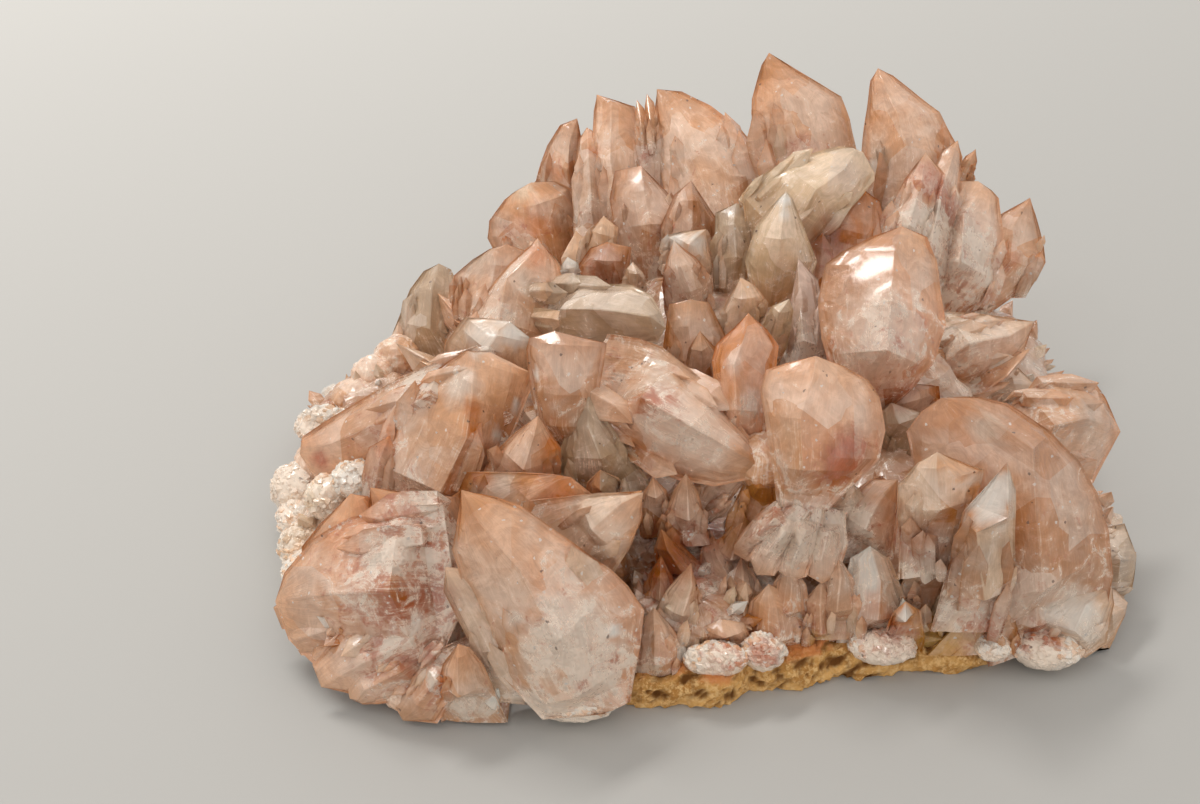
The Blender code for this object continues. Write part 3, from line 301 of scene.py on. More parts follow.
def crystal(kind, tip, foot, turn, behind, outline, edge, seed,
            pitch=0.75, bevel=0.10, steps=0.16, columns=(13, 13, 4, 4, 4), rooted=True):
    """One crystal: at each distance down, a ring through its left edge, front edge, right edge and two back edges.

    The edges follow straight lines between the table's marks, so the faces between them are nearly flat.
    A narrow bevel takes each edge's place, and low terraces run beside the edges.
    """
    tip, foot = np.array(tip, float), np.array(foot, float)
    along, across, face = crystal_axes(tip, foot, turn)
    root = np.array((foot[0] * ROOT_INWARD, foot[1] * ROOT_INWARD, max(foot[2] - ROOT_DEPTH, ROOT_FLOOR)))
    if not rooted:
        root = foot - face * 2.0
    root_at = np.array(((root - tip) @ across, (tip - root) @ along, (root - tip) @ face))
    length = max(down for side, down in outline)
    root_at[1] = max(root_at[1], length + 1.0)
    marks = np.array([(0.0, 0.0), *outline, root_at[:2]])
    middle = marks[1:-1, 0].mean()
    front = np.array([(0.0, 0.0, 0.0), *edge, root_at])
    front = front[np.argsort(front[:, 1])]
    depth = np.array([(0, 0, 0), (middle * 0.42, length * 0.42, -behind * 0.8),
                      (middle * 0.92, length * 0.92, -behind), root_at])
    breaks = np.unique(np.clip(np.concatenate([marks[:, 1], front[:, 1]]), 0, root_at[1]))
    breaks = breaks[np.concatenate([[True], np.diff(breaks) > 0.25])]
    downs = np.unique(np.concatenate([
        np.linspace(start, stop, max(2, int((stop - start) / pitch) + 1))
        for start, stop in zip(breaks[:-1], breaks[1:])]))
    left, right = reach(marks, downs)
    low = np.interp(downs, (0, length, root_at[1]), (0, 0, root_at[2]))
    crest = np.interp(downs, front[:, 1], front[:, 0])
    crest = np.clip(crest, left + 0.02 * (right - left), right - 0.02 * (right - left))
    crest_height = np.maximum(np.interp(downs, front[:, 1], front[:, 2]), low)
    back = np.interp(downs, depth[:, 1], depth[:, 0])
    back_height = np.minimum(np.interp(downs, depth[:, 1], depth[:, 2]), low)
    corner_across = np.stack([left, crest, right, back + (right - back) * 0.4, back + (left - back) * 0.4], axis=1)
    corner_height = np.stack([low, crest_height, low, low + (back_height - low) * 0.66,
                              low + (back_height - low) * 0.66], axis=1)
    rings, parts, sides, shares = [], [], [], []
    for side, count in enumerate(columns):
        after = (side + 1) % 5
        start = np.stack([corner_across[:, side], corner_height[:, side]], axis=1)
        stop = np.stack([corner_across[:, after], corner_height[:, after]], axis=1)
        run = np.linalg.norm(stop - start, axis=1)
        inset = np.minimum(bevel / np.maximum(run, 1e-6), 0.3)[:, None]
        share = 0.5 - 0.5 * np.cos(np.linspace(0, math.pi, count))
        spread = inset + (1 - 2 * inset) * share
        flat = start[:, None] + (stop - start)[:, None] * spread[..., None]
        outward = np.stack([-(stop - start)[:, 1], (stop - start)[:, 0]], axis=1) / np.maximum(run, 1e-6)[:, None]
        rings.append(flat)
        parts.append(np.broadcast_to(outward[:, None], flat.shape))
        sides.append(np.full(count, side))
        shares.append(share)
    flat = np.concatenate(rings, axis=1)
    outward = np.concatenate(parts, axis=1)
    side_of = np.concatenate(sides)
    share_of = np.concatenate(shares)
    rows, around = flat.shape[:2]
    points = tip + flat[..., :1] * across - downs[:, None, None] * along + flat[..., 1:] * face
    lift = outward[..., :1] * across + outward[..., 1:] * face
    width = (right - left)[:, None]
    grown = np.clip(width / 3.0, 0, 1) * np.clip(downs / 2.0, 0, 1)[:, None]
    drift = waves(points.reshape(-1, 3), 5.0, seed).reshape(rows, around)
    near_edge = np.select([side_of == 0, side_of == 1], [1 - share_of, share_of], np.abs(2 * share_of - 1))
    terrace = np.floor(near_edge ** 4 * 3.2 + drift * 0.5 + (downs / root_at[1])[:, None] * 0.8)
    sink = steps * np.maximum(terrace, 0) * np.minimum(1, (1 - near_edge) * 30)
    swell = 0.10 * drift - sink
    points = points + lift * (swell * grown)[..., None]
    body, top, veil, red = KINDS[kind[0]]
    other = KINDS[kind[-1]]
    down_share = np.clip(downs / max(length, 1), 0, 1)[:, None]
    toned = np.where((side_of == 1)[None, :, None], other[0], body)
    tipped = np.where((side_of == 1)[None, :, None], other[1], top)
    tint = tipped + (toned - tipped) * np.clip(down_share * 1.8, 0, 1)[..., None]
    # Painted shade: the tint darkens and warms towards the root, where the crystal sits deep among the others.
    painted_root_shade = np.clip((downs / max(length, 1) - 0.85) / 0.4, 0, 1)[:, None, None]
    tint = tint * (1 - painted_root_shade * np.array((0.14, 0.30, 0.42)))
    tint = tint * (1 + 0.08 * waves(points.reshape(-1, 3), 9.0, seed + 1).reshape(rows, around, 1))
    veils = np.broadcast_to(veil * np.clip(1.3 * down_share - 0.1, 0, 1), (rows, around))
    reds = np.broadcast_to(red * np.clip(0.15 + 1.0 * down_share, 0, 1), (rows, around))
    from_edge = np.select([side_of == 0, side_of == 1], [share_of, 1 - share_of], 0.0)
    rim = np.exp(-(from_edge / 0.18) ** 2) * np.ones((rows, 1))
    rim = np.maximum(rim, np.exp(-(downs / (0.22 * length)) ** 2)[:, None])
    # Grid of corners: rows by columns plus the closing column.
    row, column = np.meshgrid(np.arange(rows - 1), np.arange(around), indexing="ij")
    after = (column + 1) % around
    corner = np.stack([row * around + column, row * around + after,
                       (row + 1) * around + after, (row + 1) * around + column], axis=-1).reshape(-1, 4)
    turns = np.arange(around + 1) / around
    lines = np.stack([
        np.stack([turns[column], downs[row] / 10], axis=-1), np.stack([turns[column + 1], downs[row] / 10], axis=-1),
        np.stack([turns[column + 1], downs[row + 1] / 10], axis=-1), np.stack([turns[column], downs[row + 1] / 10], axis=-1),
    ], axis=-2).reshape(-1, 4, 2)
    triangles = np.concatenate([corner[:, (0, 2, 1)], corner[:, (0, 3, 2)]])
    threads = np.concatenate([lines[:, (0, 2, 1)], lines[:, (0, 3, 2)]])
    # The tip's ring and the root's ring each become one point.
    first = np.arange(rows * around)
    first[:around] = 0
    first[-around:] = (rows - 1) * around
    triangles = first[triangles]
    whole = (triangles[:, 0] != triangles[:, 1]) & (triangles[:, 1] != triangles[:, 2]) & (triangles[:, 0] != triangles[:, 2])
    points[0] = points[0].mean(axis=0)
    points[-1] = points[-1].mean(axis=0)
    return dict(points=points.reshape(-1, 3), triangles=triangles[whole], threads=threads[whole],
                tint=tint.reshape(-1, 3), veil=veils.reshape(-1), red=reds.reshape(-1),
                rim=np.broadcast_to(rim, (rows, around)).reshape(-1))


def grow(name, pieces, material):
    """One mesh from the pieces' arrays, with their colours and marks as attributes of its points."""
    starts = np.cumsum([0] + [len(piece["points"]) for piece in pieces])
    points = np.concatenate([piece["points"] for piece in pieces])
    low, high = np.array(cad_box) / MM
    points = np.clip(points, low + (0.1, 0.1, UNDERSIDE), high - 0.05)
    marks = {mark: np.concatenate([piece[mark] for piece in pieces]) for mark in ("tint", "veil", "red", "rim")}
    marks["gloss_and_painted_glint"] = np.zeros(len(points))
    stain(points, marks["tint"], marks["veil"], marks["red"], marks["gloss_and_painted_glint"])
    points *= MM
    triangles = np.concatenate([piece["triangles"] + start for piece, start in zip(pieces, starts)])
    threads = np.concatenate([piece["threads"] for piece in pieces])
    used = np.unique(triangles)
    place = np.zeros(len(points), int)
    place[used] = np.arange(len(used))
    points, triangles = points[used], place[triangles]
    mesh = bpy.data.meshes.new(name)
    mesh.vertices.add(len(points))
    mesh.vertices.foreach_set("co", points.ravel())
    mesh.loops.add(triangles.size)
    mesh.loops.foreach_set("vertex_index", triangles.ravel().astype(np.int32))
    mesh.polygons.add(len(triangles))
    mesh.polygons.foreach_set("loop_start", np.arange(0, triangles.size, 3, dtype=np.int32))
    mesh.uv_layers.new(name="thread").data.foreach_set("uv", threads.ravel())
    colour = marks["tint"][used]
    colour = np.clip(np.concatenate([colour, np.ones((len(colour), 1))], axis=1), 0, 1)
    mesh.attributes.new("tint", "FLOAT_COLOR", "POINT").data.foreach_set("color", colour.ravel())
    for mark in ("veil", "red", "rim", "gloss_and_painted_glint"):
        mesh.attributes.new(mark, "FLOAT", "POINT").data.foreach_set("value", marks[mark][used])
    mesh.update()
    mesh.validate()
    mesh.set_sharp_from_angle(angle=math.radians(11))
    body = bpy.data.objects.new(name, mesh)
    bpy.context.scene.collection.objects.link(body)
    mesh.materials.append(material)
    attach(body, "root")
    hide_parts("calcite_crystals")
    return body


def add(tree, kind, **values):
    """A new node with the named inputs set; names use _ for a space."""
    made = tree.nodes.new(kind)
    for name, value in values.items():
        made.inputs[name.replace("_", " ")].default_value = value
    return made


def sums(tree, operation, first, second):
    """A Math node on two sockets or numbers."""
    made = tree.nodes.new("ShaderNodeMath")
    made.operation = operation
    for place, value in enumerate((first, second)):
        if isinstance(value, bpy.types.NodeSocket):
            tree.links.new(value, made.inputs[place])
        else:
            made.inputs[place].default_value = value
    return made.outputs[0]


def ramp(tree, value, low, high):
    """0 below low, 1 above high, smooth between."""
    made = tree.nodes.new("ShaderNodeMapRange")
    made.interpolation_type = "SMOOTHSTEP"
    tree.links.new(value, made.inputs["Value"])
    for name, limit in (("From Min", low), ("From Max", high)):
        if isinstance(limit, bpy.types.NodeSocket):
            tree.links.new(limit, made.inputs[name])
        else:
            made.inputs[name].default_value = limit
    return made.outputs[0]


def blend(tree, share, below, above):
    """A colour mixed from below to above by share; either may be a colour or a socket."""
    made = tree.nodes.new("ShaderNodeMix")
    made.data_type = "RGBA"
    for place, value in ((0, share), (6, below), (7, above)):
        if isinstance(value, bpy.types.NodeSocket):
            tree.links.new(value, made.inputs[place])
        else:
            made.inputs[place].default_value = value if place == 0 else (*value, 1)
    return made.outputs[2]


def vectors(tree, operation, first, second):
    """A Vector Math node on two sockets, vectors or a vector and a number for its scale."""
    made = tree.nodes.new("ShaderNodeVectorMath")
    made.operation = operation
    for place, value in ((0, first), (3 if operation == "SCALE" else 1, second)):
        if isinstance(value, bpy.types.NodeSocket):
            tree.links.new(value, made.inputs[place])
        else:
            made.inputs[place].default_value = value
    return made.outputs[0]


def total(tree, *parts):
    """The sum of values, each times its share."""
    result = sums(tree, "MULTIPLY", parts[0][0], parts[0][1])
    for value, share in parts[1:]:
        result = sums(tree, "ADD", result, sums(tree, "MULTIPLY", value, share))
    return result


def crystal_look():
    """The node group behind every crystal: its colour, roughness, relief and the lean of its small faces.

    Flat inner planes of their own tone, clear and milky zones, fibres drawn out along the crystal, white flecks,
    red marks and painted sparkles of lamp light, each where a noise passes a level set by the marks on the mesh.
    """
    tree = bpy.data.node_groups.new("crystal_look", "ShaderNodeTree")
    face = tree.interface
    for name, kind in (("Tint", "NodeSocketColor"), ("Veil", "NodeSocketFloat"), ("Red", "NodeSocketFloat"),
                       ("Rim", "NodeSocketFloat"), ("Gloss_and_painted_glint", "NodeSocketFloat"), ("Lean", "NodeSocketFloat")):
        face.new_socket(name=name, in_out="INPUT", socket_type=kind)
    for name, kind in (("Colour", "NodeSocketColor"), ("Roughness", "NodeSocketFloat"),
                       ("Relief", "NodeSocketFloat"), ("Normal", "NodeSocketVector")):
        face.new_socket(name=name, in_out="OUTPUT", socket_type=kind)
    start, end = tree.nodes.new("NodeGroupInput"), tree.nodes.new("NodeGroupOutput")
    place = tree.nodes.new("ShaderNodeTexCoord")
    thread = tree.nodes.new("ShaderNodeUVMap")
    thread.uv_map = "thread"

    def noise(source, scale, detail, rough, twist=0.0):
        made = add(tree, "ShaderNodeTexNoise", Scale=scale, Detail=detail, Roughness=rough, Distortion=twist)
        tree.links.new(source, made.inputs["Vector"])
        return made.outputs["Fac"]

    def drawn(across, down):
        made = add(tree, "ShaderNodeMapping", Scale=(across, down, 1.0))
        tree.links.new(thread.outputs[0], made.inputs["Vector"])
        return made.outputs[0]

    def cells(source, scale, metric="EUCLIDEAN"):
        made = add(tree, "ShaderNodeTexVoronoi", Scale=scale)
        made.distance = metric
        tree.links.new(source, made.inputs["Vector"])
        parts = tree.nodes.new("ShaderNodeSeparateColor")
        tree.links.new(made.outputs["Color"], parts.inputs[0])
        return made, parts

    body = place.outputs["Object"]
    zone = noise(body, 120.0, 3.0, 0.55, 0.8)
    cloud = noise(body, 360.0, 6.0, 0.68, 1.2)
    stain_cloud = noise(vectors(tree, "ADD", body, (0.31, 0.17, 0.53)), 460.0, 6.0, 0.70, 1.2)
    fine = noise(body, 1500.0, 4.0, 0.7)
    fibre = noise(drawn(40.0, 1.2), 1.0, 5.0, 0.66, 0.5)
    hair = noise(drawn(150.0, 3.0), 1.0, 3.0, 0.6, 0.3)
    broad, broad_parts = cells(body, 130.0, "MANHATTAN")
    small, small_parts = cells(body, 430.0)
    tiny, tiny_parts = cells(body, 3300.0)
    veil, red, gloss_and_painted_glint, rim = (start.outputs[name] for name in ("Veil", "Red", "Gloss_and_painted_glint", "Rim"))
    milky = ramp(tree, total(tree, (zone, 0.60), (broad_parts.outputs[0], 0.22), (cloud, 0.18)), 0.34, 0.62)
    milky = sums(tree, "MULTIPLY", milky, total(tree, (rim, -0.75), (1.0, 1.0)))
    level = sums(tree, "SUBTRACT", 0.58, sums(tree, "MULTIPLY", veil, 0.15))
    wisps = ramp(tree, total(tree, (fibre, 0.50), (hair, 0.20), (cloud, 0.30)), level, sums(tree, "ADD", level, 0.10))
    laced = sums(tree, "SUBTRACT", 0.59, sums(tree, "MULTIPLY", veil, 0.17))
    lace = ramp(tree, total(tree, (cloud, 0.55), (zone, 0.20), (fine, 0.25)), laced, sums(tree, "ADD", laced, 0.10))
    marked = sums(tree, "SUBTRACT", 0.615, sums(tree, "MULTIPLY", red, 0.18))
    marks = ramp(tree, total(tree, (stain_cloud, 0.60), (fibre, 0.20), (fine, 0.20)),
                 marked, sums(tree, "ADD", marked, 0.11))
    clear = tree.nodes.new("ShaderNodeHueSaturation")
    clear.inputs["Saturation"].default_value = 1.28
    clear.inputs["Value"].default_value = 0.88
    tree.links.new(start.outputs["Tint"], clear.inputs["Color"])
    pale = blend(tree, 0.50, start.outputs["Tint"], linear(255, 230, 208))
    colour = blend(tree, milky, clear.outputs[0], pale)
    colour = blend(tree, sums(tree, "MULTIPLY", marks, 0.72), colour, linear(190, 104, 68))
    strands = ramp(tree, total(tree, (fibre, 0.55), (hair, 0.45)), 0.40, 0.60)
    puffs = ramp(tree, cloud, 0.40, 0.62)
    tone = total(tree, (broad_parts.outputs[1], 0.10), (small_parts.outputs[0], 0.08), (strands, 0.12), (puffs, 0.20))
    colour = vectors(tree, "SCALE", colour, sums(tree, "ADD", tone, 0.82))
    colour = blend(tree, sums(tree, "MULTIPLY", wisps, 0.70), colour, linear(255, 228, 204))
    colour = blend(tree, sums(tree, "MULTIPLY", lace, 0.85), colour, linear(255, 236, 216))
    # Painted highlight: where the gloss mark is set, the colour turns nearly white.
    colour = blend(tree, sums(tree, "MULTIPLY", gloss_and_painted_glint, 0.55), colour, linear(255, 250, 242))
    # Painted glints: a few tiny cells turn near white as sparkles of lamp light on small faces.
    painted_sparkles = ramp(tree, tiny_parts.outputs[0], 0.996, 0.997)
    colour = blend(tree, sums(tree, "MULTIPLY", painted_sparkles, 0.80), colour, (1.0, 0.92, 0.84))
    specks = ramp(tree, tiny_parts.outputs[1], 0.9991, 0.9992)
    colour = blend(tree, sums(tree, "MULTIPLY", specks, 0.75), colour, linear(92, 62, 46))
    tree.links.new(colour, end.inputs["Colour"])
    rough = total(tree, (wisps, 0.16), (lace, 0.22), (cloud, 0.16), (gloss_and_painted_glint, -0.12))
    tree.links.new(sums(tree, "ADD", rough, 0.02), end.inputs["Roughness"])
    tree.links.new(total(tree, (fibre, 0.45), (hair, 0.25), (cloud, 0.45), (fine, 0.15)), end.inputs["Relief"])
    lean = vectors(tree, "SCALE", vectors(tree, "SUBTRACT", broad.outputs["Color"], (0.5, 0.5, 0.5)), 0.42)
    chips = vectors(tree, "SCALE", vectors(tree, "SUBTRACT", small.outputs["Color"], (0.5, 0.5, 0.5)),
                    total(tree, (wisps, 0.5), (lace, 0.5), (veil, 0.4), (gloss_and_painted_glint, 0.6)))
    bits = vectors(tree, "SCALE", vectors(tree, "SUBTRACT", tiny.outputs["Color"], (0.5, 0.5, 0.5)),
                   total(tree, (lace, 0.8), (painted_sparkles, 1.5)))
    leaning = vectors(tree, "ADD", vectors(tree, "ADD", lean, chips), bits)
    outward = tree.nodes.new("ShaderNodeNewGeometry")
    turned = vectors(tree, "ADD", outward.outputs["Normal"], vectors(tree, "SCALE", leaning, start.outputs["Lean"]))
    straight = tree.nodes.new("ShaderNodeVectorMath")
    straight.operation = "NORMALIZE"
    tree.links.new(turned, straight.inputs[0])
    tree.links.new(straight.outputs[0], end.inputs["Normal"])
    return tree


LOOK = crystal_look()


def calcite(name, clear, relief, lean):
    """A crystal's material: milky and see-through at once, with its own share of clearness."""
    made = bpy.data.materials.new(name)
    made.use_nodes = True
    tree = made.node_tree
    surface = tree.nodes["Principled BSDF"]
    look = tree.nodes.new("ShaderNodeGroup")
    look.node_tree = LOOK
    for mark, socket in (("tint", "Tint"), ("veil", "Veil"), ("red", "Red"), ("rim", "Rim"), ("gloss_and_painted_glint", "Gloss_and_painted_glint")):
        read = tree.nodes.new("ShaderNodeAttribute")
        read.attribute_name = mark
        tree.links.new(read.outputs["Color" if mark == "tint" else "Fac"], look.inputs[socket])
    look.inputs["Lean"].default_value = lean
    bump = add(tree, "ShaderNodeBump", Strength=relief, Distance=0.0006)
    tree.links.new(look.outputs["Relief"], bump.inputs["Height"])
    tree.links.new(look.outputs["Normal"], bump.inputs["Normal"])
    tree.links.new(look.outputs["Colour"], surface.inputs["Base Color"])
    tree.links.new(look.outputs["Roughness"], surface.inputs["Roughness"])
    tree.links.new(bump.outputs[0], surface.inputs["Normal"])
    surface.inputs["IOR"].default_value = 1.55
    surface.inputs["Transmission Weight"].default_value = clear
    surface.inputs["Coat Weight"].default_value = 0.8
    surface.inputs["Coat Roughness"].default_value = 0.14
    return made


PINK = calcite("milky_pink_calcite", 0.34, 0.45, 0.45)


def inside(point):
    """Whether a point in mm lies inside the CAD solid's box, with a little to spare."""
    return all(low / MM + 1.0 < value < high / MM - 1.0 for low, value, high in zip(cad_box[0], point, cad_box[1]))


def side_crystals(row, count, seed):
    """Smaller crystals on the lower half of one crystal's faces, nearly in line with it and rooted inside it."""
    kind, tip, foot, turn, behind, outline, edge = row[1:8]
    tip, foot = np.array(tip, float), np.array(foot, float)
    along, across, face = crystal_axes(tip, foot, turn)
    length = max(down for side, down in outline)
    downs = np.linspace(0, length, 30)
    left, right = reach(np.array([(0.0, 0.0), *outline]), downs)
    crest = np.array(sorted([(0.0, 0.0, 0.0), *edge], key=lambda mark: mark[1]))
    dice = random.Random(seed)
    made = []
    for number in range(count):
        size = length * dice.uniform(0.22, 0.50)
        at = dice.uniform(0.35 * length, 1.08 * length - 0.80 * size)
        low, high = np.interp(at, downs, left), np.interp(at, downs, right)
        spot = low + (high - low) * (0.5 + 0.5 * dice.choice((-1, 1)) * dice.uniform(0.45, 1.0))
        ridge, lift = np.interp(at, crest[:, 1], crest[:, 0]), np.interp(at, crest[:, 1], crest[:, 2])
        if spot < ridge:
            height = lift * (spot - low) / max(ridge - low, 0.1)
        else:
            height = lift * (high - spot) / max(high - ridge, 0.1)
        spread = math.radians(dice.uniform(2, 13))
        outward = across * (spot - ridge) / max(high - low, 1) * 1.4 + face
        lean = along * math.cos(spread) + outward / np.linalg.norm(outward) * math.sin(spread)
        point = tip - along * at + across * spot + face * (height + 0.5) + lean * size * 0.22
        root = point - lean * size * 1.05 - face * (0.5 + 0.1 * size)
        if min(point[2], root[2]) < 3.0 or not inside(point) or not inside(root):
            continue
        wide = max(0.6, min(size * dice.uniform(0.10, 0.24), (high - low) * 0.22))
        deep = wide * dice.uniform(0.35, 0.8)
        slant = dice.uniform(-0.7, 0.7)
        shape = [(-wide, size * (0.30 + 0.18 * slant)), (-wide * 1.05, size * 0.6), (-wide * 0.8, size),
                 (wide, size * (0.30 - 0.18 * slant)), (wide * 1.05, size * 0.6), (wide * 0.8, size)]
        rise = [(wide * slant * 0.5, size * 0.28, deep * 0.8), (wide * slant * 0.3, size, deep)]
        hue = dice.choice((kind[0], kind[-1], "pale" if dice.random() < 0.4 else kind[0]))
        made.append(crystal((hue,), point, root, turn + dice.uniform(-30, 30), deep * 1.2,
                            shape, rise, seed + number, pitch=1.4, bevel=0.07, steps=0.04, columns=(4, 4, 2, 2, 2), rooted=False))
    return made


def cluster(name, rows, seed, material=PINK, sides=9):
    """A group of crystals from its table, each with its side crystals unless its faces are smooth, as one mesh."""
    made = []
    for number, row in enumerate(rows):
        made.append(crystal(*row[1:], seed=seed + number))
        if row[0] not in SMOOTH_ONES:
            made += side_crystals(row, sides, seed * 7 + 50 * number)
    grow(name, made, material)


# Name, colours of the left and right front faces, tip, foot, turn about its length, depth behind, outline, front edge.
BACK = [
    ("spire_left", ("pink",), (12, 41.5, 44), (18, 27, 22), 0, 6,
     [(-1.5, 1.5), (-4, 6), (-4.5, 8), (-5, 13.5), (-5.5, 26), (9, 8.5), (9.5, 12), (9.5, 16.5),
      (6, 28.5)],
     [(0.5, 7.5, 3.5), (1, 13, 5), (0.5, 22, 5)]),
    ("spire_right", ("pink",), (27.5, 38.5, 43), (33.5, 23.5, 20), 0, 6,
     [(-1.5, 1.5), (-2.5, 4.5), (-4.5, 10), (-7, 18.5), (-7.5, 25), (2, 1.5), (7.5, 8), (8.5, 12),
      (9.5, 15), (6.5, 28)],
     [(0, 3, 2), (0.5, 7, 4.5), (0.5, 12.5, 6), (-0.5, 22, 6)]),
    ("fan_blade_a", ("streaked",), (38.5, 30, 36), (33, 12.5, 22), 0, 5,
     [(-2, 2), (-4, 10.5), (-3, 22.5), (1, 2), (2, 8.5), (3, 20.5)],
     [(-1.5, 9.5, 4), (-1.5, 19, 5)]),
    ("fan_blade_b", ("streaked",), (42.5, 26.5, 31), (37.5, 14.5, 19), 0, 7,
     [(-3.5, -1), (-5.5, 6.5), (-4, 16.5), (2.5, 1.5), (4.5, 6.5), (5.5, 14.5)],
     [(-2.5, 6.5, 4), (-1.5, 13.5, 6)]),
    ("red_wing", ("pink",), (51, 32.5, 25), (47, 24.5, 14), 0, 4,
     [(-3.5, 3.5), (-4.5, 7.5), (-3.5, 11), (-1.5, 14), (1.5, 2), (4, 6), (5, 8.5), (4.5, 11.5)],
     [(-1.5, 5, 1.5), (-0.5, 10, 3)]),
    ("small_tip", ("pink",), (41.5, 31, 34), (39.5, 29.5, 29), 0, 2,
     [(-1, 1.5), (-1, 5.5), (1, 1.5), (1.5, 4.5)],
     [(-0.5, 2.5, 1.5)]),
]
cluster("back_crystals", BACK, seed=340)

# The rounded rear blades, columns and curled crystals at the upper left.
UPPER_LEFT = [
    ("rear_curved", ("pink",), (-4, 45.5, 36), (3.5, 26, 20), 0, 6,
     [(-1.5, 3.5), (-3, 9), (-3.5, 17), (-4.5, 24), (3.5, 1.5), (7, 5), (10, 9.5), (11.5, 13.5),
      (11.5, 17.5), (7, 27)],
     [(1, 8, 2.5), (1.5, 17, 4), (1.5, 23.5, 5)]),
    ("block_left", ("pink",), (-13, 49.5, 33), (-9, 32, 18), 0, 7,
     [(-1, 2.5), (-2, 7), (-3.5, 13.5), (-3.5, 22), (2.5, 1.5), (5.5, 3), (7, 10.5), (5, 23.5)],
     [(2, 2, 1), (0, 12, 4), (0, 20.5, 5)]),
    ("step_a", ("pink",), (-7, 44, 35), (-5.5, 35.5, 28), 0, 3,
     [(-0.5, 2), (-1.5, 9.5), (1, 1.5), (2, 10.5)],
     [(0, 5, 2)]),
    ("step_b", ("pink",), (-5.5, 45, 35.5), (-4.5, 35.5, 28), 0, 3,
     [(-0.5, 2), (-1, 10.5), (1, 1.5), (2, 11.5)],
     [(0, 5, 2)]),
    ("curved_left", ("pink",), (-16, 47.5, 30), (-18.5, 44, 15), 0, 6,
     [(-2.5, 1.5), (-4, 5), (-4.5, 8), (-5, 12.5), (-3.5, 16), (0.5, 1), (1.5, 4), (3, 8.5), (4, 14.5)],
     [(-0.5, 3, 2), (0, 7, 4)]),
    ("petal", ("pink",), (-24, 38, 24), (-21, 33.5, 13), 0, 6,
     [(-3.5, 1.5), (-6.5, 4), (-7.5, 6.5), (-6.5, 10.5), (4, 0), (7, 2.5), (7.5, 7), (5.5, 12.5)],
     [(1, 3, 3), (0.5, 7.5, 4)]),
    ("amber_columns", ("pink",), (-14.5, 46.5, 29), (-13.5, 29, 18), 0, 5,
     [(-1.5, 2), (-2.5, 9), (-3, 19.5), (2, 1.5), (3, 9), (3, 20)],
     [(0, 7, 3), (0, 15.5, 3)]),
    ("brown_mid_a", ("tan",), (-6.5, 31.5, 31), (-5.5, 23, 20), 0, 5,
     [(-4, 0.5), (-5, 4.5), (-4.5, 12), (3, 3.5), (6.5, 7.5), (6, 13.5)],
     [(0, 4, 3), (0.5, 9, 5)]),
    ("brown_mid_b", ("tan",), (0.5, 26.5, 31.5), (0.5, 20, 22), 0, 4,
     [(-2.5, 2), (-4.5, 6.5), (-3.5, 11.5), (2, 3), (4.5, 6.5), (3.5, 11.5)],
     [(0, 3, 3), (0, 8, 3)]),
]
cluster("upper_left_crystals", UPPER_LEFT, seed=480)

